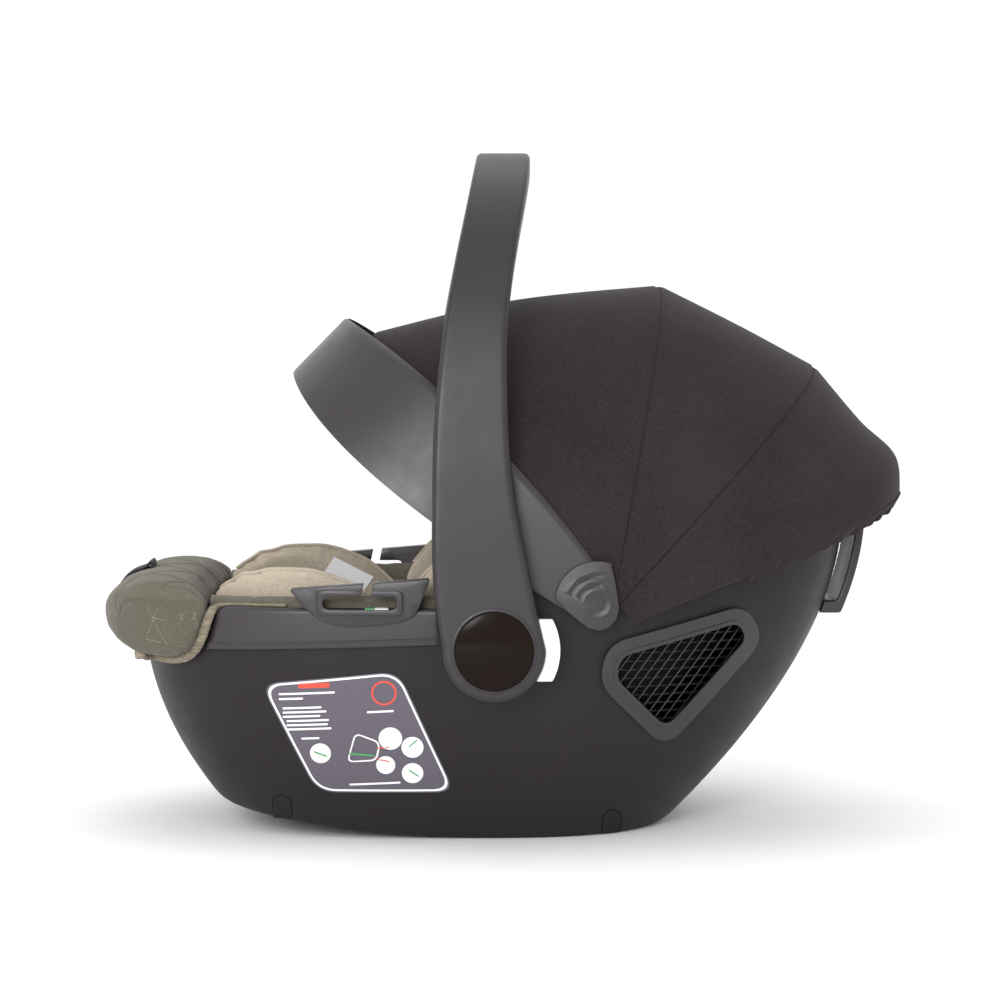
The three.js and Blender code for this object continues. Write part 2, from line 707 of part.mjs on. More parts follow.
const strapSlots = block([-69.5, -20.5, 0], [-62.5, 20.5, 120]);
const lipOutside = shellAt(-shellWall - 4.5);
const foamTop = 14;
const nutRoom = join(sides.map(({ side }) => disc(side, hub, 12, [insideWall - 40, far], 12)));
const foamLiner = bowlAt(coverThickness + 1.5 + foamThickness).subtract(bowlAt(coverThickness + 1.5))
  .intersect(shellAt(-shellWall - 0.6)).intersect(shellSide(-foamTop)).intersect(above(floorTop + 0.5))
  .subtract(strapSlots).subtract(nutRoom);
const coverSkin = bowlAt(coverThickness + 1).subtract(bowlAt(1));
const coverLip = lipOutside.subtract(bowlAt(1)).subtract(shellSide(seatGap - foamTop))
  .intersect(above(rimFoot - foamTop));
const coverTop = across(outline([
  [-far, 0], [far, 0], [far, 306], [340, 306], [290, 294], [200, 250], [110, 214], [40, 210],
  [-10, 204], [-60, 204], [-far, 190.5],
]), -far, far);
const guideRoom = sides.map(({ side }) =>
  across(rounded(grown(guideOutline, 1), 6), side * 60, side * far).subtract(shellAt(-guideInside - 1)));
let cover = coverSkin.add(coverLip).intersect(lipOutside).intersect(coverTop)
  .subtract(strapSlots);
guideRoom.forEach((room) => {
  cover = cover.subtract(room);
});
add('foam_liner', foamLiner, foam);

const flapOutline = [
  [-238, 201], [-241, 192], [-252, 160], [-268, 149], [-300, 150], [-322, 158], [-339, 174],
  [-342, 190], [-333, 207], [-315, 219], [-290, 226.5], [-264, 224], [-244, 213],
];
const flapForm = stack([130, 240], [28, 1], () => ({
  front: shellFrontRim, rear: 0, half: shellHalfWidth - 2,
}), [38, 9]).intersect(across(rounded(flapOutline, 5), -far, far));
const flapRoom = shellAt(1).intersect(below(rimFoot + 1));
const strapRoom = strapWidth / 2 + 1;
const pocket = block([-304, -strapRoom - 6, rimFoot], [-256, strapRoom + 6, 214]);
const strapExit = block([-304, -strapRoom, 200], [-296.5, strapRoom, 250]);
const flap = flapForm.subtract(flapRoom).subtract(pocket).subtract(strapExit);
cover = cover.subtract(flapForm).subtract(block([-far, -far, rimFoot - 3], [-232, far, far]));
add('seat_cover', cover, coverFabric);
add('foot_flap', flap, coverFabric);

// ---- Body insert and head insert ----
const insertTop = [
  [-238, 60], [-240, 204, 4], [-215, 220, 8], [-186, 227, 12], [-150, 224, 10], [-118, 212, 8],
  [-92, 190, 6], [-62, 150, 6], [-20, 110, 8], [40, 92, 8], [60, 60],
];
const insertBand = bowlAt(0).subtract(bowlAt(-insertThickness));
const headBand = bowlAt(0).subtract(bowlAt(-headInsertThickness));
const headSide = [
  [-88, 192, 4], [-84, 205, 6], [-54, 232, 10], [20, 244, 30], [110, 252, 30], [200, 288, 20],
  [286, 318, 8], [340, 318], [340, 60], [64, 60], [62, 90, 6], [42, 96, 8], [-18, 114, 8],
  [-58, 152, 8],
];

// ---- Harness ----
// A flat strap along a route; its width lies along Y and its route leans in Y as it goes
function ribbon(points, steps, [width, thickness], grow = 0) {
  const route = new THREE.CatmullRomCurve3(points.map((p) => new THREE.Vector3(...p)));
  const geometry = new THREE.BoxGeometry(1, 1, 1, steps, 1, 1);
  return shaped(geometry, (x, y, z) => {
    const at = route.getPoint(clamp01(x + 0.5));
    const ahead = route.getTangent(clamp01(x + 0.5));
    const up = new THREE.Vector3(-ahead.z, 0, ahead.x).normalize();
    const lift = z * (thickness + 2 * grow);
    return [at.x + up.x * lift, at.y + y * (width + 2 * grow), at.z + up.z * lift];
  });
}

const shoulderY = strapSpacing / 2;
const padLowY = Math.max(shoulderY - 14, padWidth / 2 + 1); // the pads' lower ends stay apart
const buckleY = strapWidth / 2 + 1;
const tongueX = -31;
const shoulderRoute = (side) => [
  [182, side * shoulderY, 176], [162, side * shoulderY, 168], [146, side * shoulderY, 158],
  [118, side * (shoulderY - 2), 132], [84, side * (shoulderY - 6), 107],
  [40, side * padLowY, 95], [-6, side * (buckleY + 2), 95],
  [-24, side * buckleY, 96], [tongueX, side * buckleY, 90], [tongueX, side * buckleY, 80],
];
const strapSection = [strapWidth - 6, strapThickness];
let headInsert = headBand.intersect(across(rounded(headSide, 5), -far, far));
let bodyInsert = insertBand.intersect(across(rounded(insertTop, 5), -far, far))
  .subtract(strapSlots).subtract(flapForm);
for (const { side } of sides) {
  const room = ribbon(shoulderRoute(side), 30, strapSection, 1.5);
  headInsert = headInsert.subtract(room);
  bodyInsert = bodyInsert.subtract(room);
}
add('body_insert', bodyInsert, insertFabric);
add('head_insert', headInsert, insertFabric);

const padRoute = (side) => [
  [146, side * shoulderY, 158], [118, side * (shoulderY - 2), 132],
  [84, side * (shoulderY - 6), 107], [40, side * padLowY, 95],
];
for (const { side, name } of sides) {
  const strap = ribbon(shoulderRoute(side), 34, strapSection);
  add(`shoulder_strap_${name}`, strap, webbing);
  const room = ribbon(shoulderRoute(side), 34, strapSection, 0.8);
  const pad = ribbon(padRoute(side), 12, [padWidth, padThickness])
    .subtract(room).subtract(headInsert).subtract(bodyInsert);
  add(`shoulder_pad_${name}`, pad, insertFabric);
}

const buckle = { x: [-94, -42], z: [80, 102], half: 33 };
const buckleButton = { x: [-86, -60], half: 13, travel: 4, proud: 1.5 };
const tongueZ = [88, 91];
const housing = block([buckle.x[0], -buckle.half, buckle.z[0]],
  [buckle.x[1], buckle.half, buckle.z[1]]);
const buttonRoom = block(
  [buckleButton.x[0] - slideGap, -buckleButton.half - slideGap, tongueZ[1] + 2],
  [buckleButton.x[1] + slideGap, buckleButton.half + slideGap, far],
);
const tongueRoom = block([-58, -30.5, tongueZ[0] - slideGap], [far, 30.5, tongueZ[1] + slideGap]);
const crotchRoom = block([-69.5, -20, 0], [-62.5, 20, buckle.z[0] + 4]);
add('buckle_housing',
  housing.subtract(buttonRoom).subtract(tongueRoom).subtract(crotchRoom), satinPlastic);
add('buckle_button', block(
  [buckleButton.x[0], -buckleButton.half, tongueZ[1] + 2.5 + buckleButton.travel],
  [buckleButton.x[1], buckleButton.half, buckle.z[1] + buckleButton.proud],
), redPlastic);
for (const { side, name } of sides) {
  const blade = sideBlock(side, [-56, -40], [1, 19], tongueZ);
  const frame = sideBlock(side, [-40.5, -22], [1, 1 + strapWidth], tongueZ);
  const slot = sideBlock(side, [tongueX - 2.4, tongueX + 2.4], [3, strapWidth - 0.5], [0, 200]);
  add(`buckle_tongue_${name}`, blade.add(frame).subtract(slot), steel);
}
add('crotch_strap', block([-67, -19, 31], [-65, 19, buckle.z[0] + 3]), webbing);
const crotchRoute = [[-114, 0, 80.5], [-92, 0, 72.5], [-70, 0, 70], [-42, 0, 70]];
add('crotch_pad', ribbon(crotchRoute, 8, [60, 8]).subtract(strapSlots), insertFabric);

// ---- Harness adjuster under the foot flap ----
const adjuster = { x: [-302, -258], half: strapWidth / 2 + 5, z: [rimFoot + 1.5, 206] };
const adjusterFrame = block([adjuster.x[0], -adjuster.half, adjuster.z[0]],
  [adjuster.x[1], adjuster.half, adjuster.z[1]]);
const strapPath = block([-303, -strapRoom, rimFoot + 5], [-296, strapRoom, 230]);
const leverRoom = block([-293, -17, rimFoot + 7], [-261, 17, 230]);
add('adjuster_housing', adjusterFrame.subtract(strapPath).subtract(leverRoom), steel);
add('adjuster_button', block([-292, -16, 203], [-262, 16, 207]), satinPlastic);
const overRoll = [
  [-300, 0, 198], [-300, 0, 212], [-300.5, 0, 223], [-305, 0, 225.6], [-317, 0, 220.6],
  [-335, 0, 209.4], [-345, 0, 194],
];
add('adjuster_strap',
  ribbon(overRoll, 24, [strapWidth, strapThickness]).subtract(flap), webbing);

// The origin is under the middle of the whole seat
group.updateMatrixWorld(true);
const bounds = new THREE.Box3().setFromObject(group);
group.position.x = -(bounds.min.x + bounds.max.x) / 2;

export default group;
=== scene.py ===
import json
import math

import bpy
import numpy as np
from mathutils import Euler, Matrix, Vector
from mathutils.bvhtree import BVHTree


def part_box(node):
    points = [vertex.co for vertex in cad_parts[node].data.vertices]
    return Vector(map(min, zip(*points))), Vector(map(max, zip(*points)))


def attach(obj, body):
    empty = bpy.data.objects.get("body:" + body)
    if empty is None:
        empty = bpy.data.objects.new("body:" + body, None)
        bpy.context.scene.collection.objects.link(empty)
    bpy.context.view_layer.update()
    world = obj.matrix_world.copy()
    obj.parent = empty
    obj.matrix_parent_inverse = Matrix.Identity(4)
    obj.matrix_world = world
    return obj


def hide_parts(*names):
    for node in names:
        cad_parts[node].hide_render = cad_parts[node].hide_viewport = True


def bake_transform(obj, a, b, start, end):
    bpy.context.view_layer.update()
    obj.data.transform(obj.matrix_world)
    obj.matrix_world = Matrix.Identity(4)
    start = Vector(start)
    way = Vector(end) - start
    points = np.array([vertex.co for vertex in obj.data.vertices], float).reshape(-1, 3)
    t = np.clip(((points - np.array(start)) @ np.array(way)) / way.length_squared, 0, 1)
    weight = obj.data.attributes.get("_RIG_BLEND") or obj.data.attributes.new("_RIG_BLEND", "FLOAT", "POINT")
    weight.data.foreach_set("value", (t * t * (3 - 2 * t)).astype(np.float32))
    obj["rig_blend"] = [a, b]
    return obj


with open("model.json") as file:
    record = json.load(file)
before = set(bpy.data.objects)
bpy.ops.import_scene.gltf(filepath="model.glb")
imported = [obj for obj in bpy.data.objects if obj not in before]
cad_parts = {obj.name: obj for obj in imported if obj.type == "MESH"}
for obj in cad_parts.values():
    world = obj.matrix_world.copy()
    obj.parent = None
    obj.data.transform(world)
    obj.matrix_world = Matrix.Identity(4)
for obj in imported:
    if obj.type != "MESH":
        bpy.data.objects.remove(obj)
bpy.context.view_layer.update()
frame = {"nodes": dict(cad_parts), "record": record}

# ---- Stage, camera and light ----
# A plain pale floor under soft studio light. The lens is long and nearly level with
# the seat, and round soft lamps stand in front, at the foot end and above.
bpy.ops.object.select_all(action="DESELECT")
bpy.ops.mesh.primitive_circle_add(vertices=96, radius=24, fill_type="NGON", location=(0, 0, -0.0005))
floor = bpy.context.object
floor.name = "floor"
floor_finish = bpy.data.materials.new("pale_floor")
floor_finish.use_nodes = True
floor_shader = floor_finish.node_tree.nodes["Principled BSDF"]
floor_shader.inputs["Base Color"].default_value = (0.98, 0.98, 0.98, 1)
floor_shader.inputs["Roughness"].default_value = 0.9
floor_shader.inputs["Specular IOR Level"].default_value = 0.1
floor.data.materials.append(floor_finish)

camera_data = bpy.data.cameras.new("camera")
camera_data.lens = 106.02
camera_data.sensor_width = 36
camera_data.clip_end = 60
camera = bpy.data.objects.new("camera", camera_data)
bpy.context.scene.collection.objects.link(camera)
camera.location = (-0.0526, -2.551, 0.425)
camera.rotation_euler = Euler((math.radians(90 - 3.381), 0, math.radians(-1.223)))
bpy.context.scene.camera = camera
bpy.context.scene.view_settings.view_transform = "Standard"

world = bpy.data.worlds.new("studio")
world.use_nodes = True
world.node_tree.nodes["Background"].inputs["Color"].default_value = (1, 1, 1, 1)
world.node_tree.nodes["Background"].inputs["Strength"].default_value = 1.02
bpy.context.scene.world = world
for name, place, size, watts in (
    ("key", (-0.75, -3.1, 1.0), 1.3, 52),
    ("side", (-2.4, -0.6, 1.2), 1.2, 5),
    ("top", (0.1, 0.3, 2.4), 2.2, 10),
):
    light_data = bpy.data.lights.new(name, "AREA")
    light_data.shape = "DISK"
    light_data.size = size
    light_data.energy = watts
    light = bpy.data.objects.new(name, light_data)
    light.location = place
    light.rotation_euler = (Vector((0, 0, 0.25)) - Vector(place)).to_track_quat("-Z", "Y").to_euler()
    bpy.context.scene.collection.objects.link(light)

# ---- Outer shell ----
# One deep bucket of moulded polypropylene with a fine spark-eroded texture. Its base is a
# rocker with a recess, and its rim drops at the foot end and rises behind the head.
MM = 0.001
hub_low, hub_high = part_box("hub_cap_left")
hub = Vector(((hub_low.x + hub_high.x) / 2, 0, (hub_low.z + hub_high.z) / 2)) / MM
shift = hub.x + 9.4       # drawing X to frame X, in millimetres
shell_wall = 3.5
rim_foot = 190
widest = -10


def mix(a, b, t):
    return a + (b - a) * t


def clamp01(value):
    return min(max(value, 0.0), 1.0)


def smooth_step(start, end, value):
    t = clamp01((value - start) / (end - start))
    return t * t * (3 - 2 * t)


def signed_power(value, power):
    return math.copysign(abs(value) ** power, value)


def shell_ring(z):
    height = max(z, 0)
    front = 1 - (1 - min(height / rim_foot, 1)) ** 2.1
    rear = 1 - (1 - min(height / 260, 1)) ** 1.75
    half = 1 - (1 - min(height / 230, 1)) ** 2.2
    flare = 30 * max((height - 260) / 45, 0) ** 1.5
    return mix(-222, -306, front), mix(143, 295, rear) + flare, mix(124, 184, half)


def ring_half(ring, x, out):
    """Half width of a plan ring at a place along it, some way outside its line."""
    front, rear, half = ring
    reach, power = (widest - front, 3.0) if x < widest else (rear - widest, 2.4)
    share = min(abs(x - widest) / (reach + out), 1)
    return (half + out) * max(1 - share ** power, 0) ** (1 / power)


def shell_y(x, z, out):
    """Half width of the shell at a place in its side view, some way outside its wall."""
    return ring_half(shell_ring(z), x, out)


def plan_point(ring, out, angle):
    front, rear, half = ring
    reach, power = (rear - widest, 2.4) if math.cos(angle) > 0 else (widest - front, 3)
    return (widest + (reach + out) * signed_power(math.cos(angle), 2 / power),
            (half + out) * signed_power(math.sin(angle), 2 / power))


def rim_height(x):
    return rim_foot + 28 * smooth_step(-30, 40, x) + 94 * smooth_step(90, 345, x)


def rocker_height(x):
    return max(-x, x - 56, 0) ** 2 / 2400


def shell_point(turn, up, out, rim_down=0.0):
    """A point of the wall: turn goes round the plan from the front, up from rocker to rim."""
    angle = turn * 2 * math.pi
    cosine, sine = -math.cos(angle), math.sin(angle)
    x, z = 0, up * 200
    for _ in range(8):
        front, rear, half = shell_ring(z)
        if cosine < 0:
            reach, power = widest - front, 3.0
        else:
            reach, power = rear - widest, 2.4
        x = widest + (reach + out) * signed_power(cosine, 2 / power)
        y = (half + out) * signed_power(sine, 2 / power)
        z = mix(rocker_height(x), rim_height(x) - rim_down, up)
    return Vector((x, y, z))


def alone(piece):
    bpy.ops.object.select_all(action="DESELECT")
    piece.select_set(True)
    bpy.context.view_layer.objects.active = piece


def join_all(pieces):
    """Joins pieces into the first of them."""
    bpy.ops.object.select_all(action="DESELECT")
    for piece in pieces:
        piece.select_set(True)
    bpy.context.view_layer.objects.active = pieces[0]
    if len(pieces) > 1:
        bpy.ops.object.join()
    return pieces[0]


def tidy_mesh(piece, merge=0.01, fill=False):
    alone(piece)
    bpy.ops.object.mode_set(mode="EDIT")
    bpy.ops.mesh.select_mode(type="VERT")
    bpy.ops.mesh.select_all(action="SELECT")
    bpy.ops.mesh.remove_doubles(threshold=merge)
    if fill:
        bpy.ops.mesh.select_all(action="DESELECT")
        bpy.ops.mesh.select_non_manifold(extend=False)
        bpy.ops.mesh.fill_holes(sides=0)
    bpy.ops.mesh.select_all(action="SELECT")
    bpy.ops.mesh.normals_make_consistent(inside=False)
    bpy.ops.object.mode_set(mode="OBJECT")


def skin(name, columns, rows, where, fill=False):
    """A grid whose every crossing is laid at where(u, v), joined up where it meets itself."""
    bpy.ops.object.select_all(action="DESELECT")
    bpy.ops.mesh.primitive_grid_add(x_subdivisions=columns, y_subdivisions=rows, size=1)
    piece = bpy.context.object
    piece.name = name
    for vertex in piece.data.vertices:
        vertex.co = where(vertex.co.x + 0.5, vertex.co.y + 0.5)
    tidy_mesh(piece, fill=fill)
    return piece


def apply(piece, kind, **settings):
    alone(piece)
    modifier = piece.modifiers.new(kind.lower(), kind)
    for key, value in settings.items():
        setattr(modifier, key, value)
    bpy.ops.object.modifier_apply(modifier=modifier.name)


def bevel(piece, width, segments=2, angle=40):
    """Rounds the edges that are sharper than an angle in degrees."""
    apply(piece, "BEVEL", width=width, segments=segments, limit_method="ANGLE",
          angle_limit=math.radians(angle))


def combine(piece, other, operation="DIFFERENCE"):
    apply(piece, "BOOLEAN", object=other, operation=operation, solver="MANIFOLD")
    bpy.data.objects.remove(other)


def rounded(points, radius, steps=5):
    """An outline with its corners rounded; a point may carry its own radius."""
    path = []
    for i, point in enumerate(points):
        corner = Vector(point[:2])
        own = point[2] if len(point) > 2 else radius
        before = Vector(points[i - 1][:2]) - corner
        after = Vector(points[(i + 1) % len(points)][:2]) - corner
        reach = min(own, before.length * 0.48, after.length * 0.48)
        start = corner + before.normalized() * reach
        end = corner + after.normalized() * reach
        for k in range(steps + 1):
            t = k / steps
            path.append(start * (1 - t) ** 2 + corner * 2 * t * (1 - t) + end * t ** 2)
    return path


def grown(points, distance):
    """The same outline with every edge moved out by a distance."""
    count = len(points)
    area = sum(points[i][0] * points[(i + 1) % count][1]
               - points[(i + 1) % count][0] * points[i][1] for i in range(count))
    turn = math.copysign(1, area)
    moved = []
    for i, point in enumerate(points):
        here = Vector(point[:2])
        last = here - Vector(points[i - 1][:2])
        ahead = Vector(points[(i + 1) % count][:2]) - here
        before = Vector((last.y, -last.x)).normalized() * turn
        after = Vector((ahead.y, -ahead.x)).normalized() * turn
        miter = (before + after).normalized()
        miter *= distance / max(miter.dot(after), 0.2)
        moved.append((here.x + miter.x, here.y + miter.y, *point[2:]))
    return moved


def extrude(piece, way):
    """Draws a flat face out into a closed solid."""
    alone(piece)
    bpy.ops.object.mode_set(mode="EDIT")
    bpy.ops.mesh.select_all(action="SELECT")
    bpy.ops.mesh.remove_doubles(threshold=0.01)
    bpy.ops.mesh.select_all(action="SELECT")
    bpy.ops.mesh.extrude_region_move(TRANSFORM_OT_translate={"value": way})
    bpy.ops.mesh.select_all(action="SELECT")
    bpy.ops.mesh.normals_make_consistent(inside=False)
    bpy.ops.object.mode_set(mode="OBJECT")


def plate(name, path, low, high, edge=0, edge_steps=2):
    """A flat plate in side view, standing from low to high along Y, with rounded edges."""
    bpy.ops.object.select_all(action="DESELECT")
    bpy.ops.mesh.primitive_circle_add(vertices=len(path), radius=1, fill_type="NGON")
    piece = bpy.context.object
    piece.name = name
    for vertex, (x, z) in zip(piece.data.vertices, path):
        vertex.co = (x, low, z)
    extrude(piece, (0, high - low, 0))
    if edge:
        bevel(piece, edge, edge_steps, 50)
    return piece


def slice_up(piece, pitch, axes=(0, 2)):
    """Cuts a piece's faces along evenly spaced planes, so that it can follow a curve."""
    alone(piece)
    co = np.array([v.co for v in piece.data.vertices])
    bpy.ops.object.mode_set(mode="EDIT")
    for axis in axes:
        normal = [0, 0, 0]
        normal[axis] = 1
        place = [0, 0, 0]
        low, high = co[:, axis].min(), co[:, axis].max()
        count = max(int((high - low) / pitch), 1)
        for i in range(1, count):
            place[axis] = low + (high - low) * (i + 0.13) / count
            bpy.ops.mesh.select_all(action="SELECT")
            bpy.ops.mesh.bisect(plane_co=place, plane_no=normal)
    bpy.ops.object.mode_set(mode="OBJECT")


def copy_of(piece, name):
    double = piece.copy()
    double.data = piece.data.copy()
    double.name = name
    bpy.context.scene.collection.objects.link(double)
    return double


def wrap(piece, side):
    """Bends a flat plate round the shell: its Y is how far it stands outside the wall."""
    for vertex in piece.data.vertices:
        x, out, z = vertex.co
        vertex.co.y = side * shell_y(x, z, out)
    tidy_mesh(piece, merge=0.0005)


def mirrored(piece, name):
    """A copy of a piece on the other side of the seat, as a mesh of its own."""
    double = copy_of(piece, name)
    for vertex in double.data.vertices:
        vertex.co.y = -vertex.co.y
    tidy_mesh(double, merge=0.0005)
    return double


def to_frame(piece):
    """Drawing millimetres to the frame's metres."""
    piece.data.transform(Matrix.Scale(MM, 4) @ Matrix.Translation((shift, 0, 0)))


def give_finish(piece, finish, sharp):
    piece.data.materials.clear()
    piece.data.materials.append(finish)
    alone(piece)
    bpy.ops.object.shade_smooth_by_angle(angle=math.radians(sharp))


def settle(piece, finish, body, slot, *nodes, sharp=35):
    """Millimetres to metres, finish on, and the piece joins its body."""
    to_frame(piece)
    give_finish(piece, finish, sharp)
    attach(piece, body)
    if nodes:
        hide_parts(*nodes)


def finish_nodes(name):
    material = bpy.data.materials.new(name)
    material.use_nodes = True
    return material, material.node_tree.nodes, material.node_tree.links


def noise(nodes, links, coordinates, scale, detail=2.0, rough=0.5):
    texture = nodes.new("ShaderNodeTexNoise")
    texture.inputs["Scale"].default_value = scale
    texture.inputs["Detail"].default_value = detail
    texture.inputs["Roughness"].default_value = rough
    links.new(coordinates, texture.inputs["Vector"])
    return texture.outputs["Fac"]


def spread(nodes, links, value, low, high, from_low=0.3, from_high=0.7):
    node = nodes.new("ShaderNodeMapRange")
    node.inputs["From Min"].default_value = from_low
    node.inputs["From Max"].default_value = from_high
    node.inputs["To Min"].default_value = low
    node.inputs["To Max"].default_value = high
    links.new(value, node.inputs["Value"])
    return node.outputs["Result"]


def blended(nodes, links, share, first, second):
    node = nodes.new("ShaderNodeMix")
    node.data_type = "RGBA"
    links.new(share, node.inputs[0])
    for socket, colour in ((node.inputs[6], first), (node.inputs[7], second)):
        if isinstance(colour, tuple):
            socket.default_value = (*colour, 1)
        else:
            links.new(colour, socket)
    return node.outputs[2]


def bumped(nodes, links, height, strength, distance):
    """Relief in a surface, from the height of a pattern."""
    bump = nodes.new("ShaderNodeBump")
    bump.inputs["Strength"].default_value = strength
    bump.inputs["Distance"].default_value = distance
    links.new(height, bump.inputs["Height"])
    links.new(bump.outputs["Normal"], nodes["Principled BSDF"].inputs["Normal"])


def moulded(name, dark, light, roughness, grain=0.25, grain_scale=1900, scuffs=0.0, specular=0.5):
    """Moulded plastic: a fine grain in the surface, cloudy gloss, and faint handling marks."""
    material, nodes, links = finish_nodes(name)
    shader = nodes["Principled BSDF"]
    shader.inputs["Specular IOR Level"].default_value = specular
    place = nodes.new("ShaderNodeTexCoord").outputs["Object"]
    cloud = noise(nodes, links, place, 9, 4)
    colour = blended(nodes, links, cloud, dark, light)
    if scuffs:
        stretched = nodes.new("ShaderNodeMapping")
        stretched.inputs["Scale"].default_value = (14, 60, 160)
        stretched.inputs["Rotation"].default_value = (0, 0.6, 0)
        links.new(place, stretched.inputs["Vector"])
        marks = spread(nodes, links, noise(nodes, links, stretched.outputs["Vector"], 1, 6, 0.7),
                       0, scuffs, 0.58, 0.8)
        colour = blended(nodes, links, marks, colour, tuple(min(c * 3.5, 1) for c in light))
    links.new(colour, shader.inputs["Base Color"])
    gloss = noise(nodes, links, place, 23, 5, 0.6)
    links.new(spread(nodes, links, gloss, roughness - 0.05, roughness + 0.07),
              shader.inputs["Roughness"])
    bumped(nodes, links, noise(nodes, links, place, grain_scale, 2, 0.6), grain, 0.0002)
    return material


shell_plastic = moulded("shell_plastic", (0.0105, 0.0078, 0.0084), (0.0165, 0.0128, 0.0136), 0.5,
                        grain=0.5, grain_scale=1500, specular=0.28)

wall_rows = 56


def wall_point(u, v):
    """The wall's outside; its lowest rows turn in round the rocker's edge."""
    turned_in = max(1 - v * wall_rows / 3, 0) ** 2
    return shell_point(u, v ** 1.25, -1.6 * turned_in)


shell = skin("shell", 220, wall_rows, wall_point)
apply(shell, "SOLIDIFY", thickness=shell_wall, offset=-1)
bpy.ops.object.select_all(action="DESELECT")
bpy.ops.mesh.primitive_circle_add(vertices=110, radius=1, fill_type="NGON")
shell_floor = bpy.context.object
floor_height, floor_thick = 22, 4.5
for i, vertex in enumerate(shell_floor.data.vertices):
    vertex.co = (*plan_point(shell_ring(floor_height), -2, 2 * math.pi * i / 110), floor_height)
extrude(shell_floor, (0, 0, floor_thick))
combine(shell, shell_floor, "UNION")

guide_outline = [(-174, 213, 3), (-160, 196, 6), (-146, 186, 10), (-125, 183, 12),
                 (-88, 186, 12), (-72, 192, 8), (-60, 222, 3)]
vent_outline = [(84, 168), (199, 197), (216, 166), (134, 76), (76, 135)]
vent_opening = grown(vent_outline, -13)
foot_places = (-184, 91)


def foot_arch(x, extra, low=-14):
    top = rocker_height(x) + 14
    half = 8 + extra
    arch = [(x - half, low), (x + half, low)]
    return arch + [(x + half * math.cos(a), top + half * math.sin(a))
                   for a in np.linspace(0, math.pi, 15)]


for side in (-1, 1):
    for path in (rounded(grown(guide_outline, 0.35), 6), rounded(vent_opening, 12)):
        combine(shell, plate("cutter", path, *sorted((side * 60, side * 300))))
    for x in foot_places:
        notch = plate("cutter", foot_arch(x, 0.5), -8.4, 8)
        wrap(notch, side)
        combine(shell, notch)
settle(shell, shell_plastic, "seat", "shell_plastic", "outer_shell")

# ---- Rail trims ----
# A satin moulding clips over the rim on each side of the foot half. It carries a bead
# along its lower edge and ends in a rounded upper corner at the front.
satin_plastic = moulded("satin_plastic", (0.0205, 0.0168, 0.0202), (0.031, 0.026, 0.0306), 0.38,
                        grain=0.34, grain_scale=1250, scuffs=0.09, specular=0.5)


def trim_section(low):
    return [(0.5, low + 0.5), (3.8, low), (4.8, low + 0.7), (5, low + 2.2), (5, low + 4.2),
            (5.6, low + 4.9), (5.6, low + 5.8), (5, low + 6.5), (5, 192.6), (4.6, 195.2),
            (3.4, 196.7), (1.6, 197), (-3.6, 197), (-5.4, 196.3), (-6.4, 194.4), (-6.4, 179),
            (-4.3, 178.6), (-4.1, 190.4), (0.5, 190.4)]


def trim_point(u, v):
    x = mix(-244, -51, v)
    section = trim_section(mix(161, 167.5, v))
    out, z = section[round(u * len(section)) % len(section)]
    front = -244 + 9 * (z - 161) / 36 + 12 * (1 - math.sqrt(1 - clamp01((z - 183) / 14.4) ** 2))
    x = mix(front, -51, v)
    pinch = max(1 - min(v, 1 - v) * 60, 0) * 0.7
    out = mix(out, 0.5, pinch * 0.5)
    return Vector((x, -shell_y(x, z, out), z))


trim = skin("rail_trim_l", len(trim_section(0)), 60, trim_point, fill=True)
other_trim = mirrored(trim, "rail_trim_r")
settle(trim, satin_plastic, "seat", "satin_plastic", "rail_trim_left")
settle(other_trim, satin_plastic, "seat", "satin_plastic", "rail_trim_right")

# ---- Lap belt guides ----
# A bracket on each rim holds the car's lap belt in a long slot with a raised lip. The
# belt is threaded in through a slanted gap in its top edge.
slot_outline = [(-147, 197, 5.4), (-87, 197, 5.4), (-87, 208, 5.4), (-147, 208, 5.4)]
gap_outline = [(-117, 204), (-109, 204), (-103, 232), (-111, 232)]
guide = plate("belt_guide_l", rounded(guide_outline, 6), -6, 10)
combine(guide, plate("lip", rounded(grown(slot_outline, 4.6), 9), 8, 11.6), "UNION")
combine(guide, plate("cutter", rounded(slot_outline, 5.4), -20, 20))
combine(guide, plate("cutter", gap_outline, -20, 20))
bevel(guide, 1.1)
slice_up(guide, 9)
wrap(guide, -1)
other_guide = mirrored(guide, "belt_guide_r")
settle(guide, satin_plastic, "seat", "satin_plastic", "belt_guide_left")
settle(other_guide, satin_plastic, "seat", "satin_plastic", "belt_guide_right")

# ---- Carry handle ----
# A hollow bow of satin plastic that swings on two round hubs. The arm and its hub are one
# moulding, with a rounded edge, and a liner closes the inside of the bow.
# Painted shade: the bow, its liner and the cap rims take a darker copy of the satin plastic, not a plastic
# of their own.
handle_plastic = moulded("handle_plastic", (0.0145, 0.012, 0.0142), (0.0215, 0.018, 0.0212), 0.4,
                         grain=0.34, grain_scale=1250, scuffs=0.09, specular=0.42)
hub_x, hub_z = -9.4, 166.4
bow_half, bow_thick, bow_rise = 209.5, 21, 395
bow_power = 2 / 3.2


def through(points, share):
    """A smooth curve through (share, value) points."""
    xs = [p[0] for p in points]
    i = min(max(int(np.searchsorted(xs, share)) - 1, 0), len(xs) - 2)
    (x0, y0), (x1, y1) = points[i], points[i + 1]
    slope0 = (y1 - points[i - 1][1]) / (x1 - points[i - 1][0]) if i else (y1 - y0) / (x1 - x0)
    slope1 = ((points[i + 2][1] - y0) / (points[i + 2][0] - x0) if i + 2 < len(points)
              else (y1 - y0) / (x1 - x0))
    t, width = (share - x0) / (x1 - x0), x1 - x0
    return (y0 * (1 + 2 * t) * (1 - t) ** 2 + slope0 * width * t * (1 - t) ** 2
            + y1 * t * t * (3 - 2 * t) + slope1 * width * t * t * (t - 1))


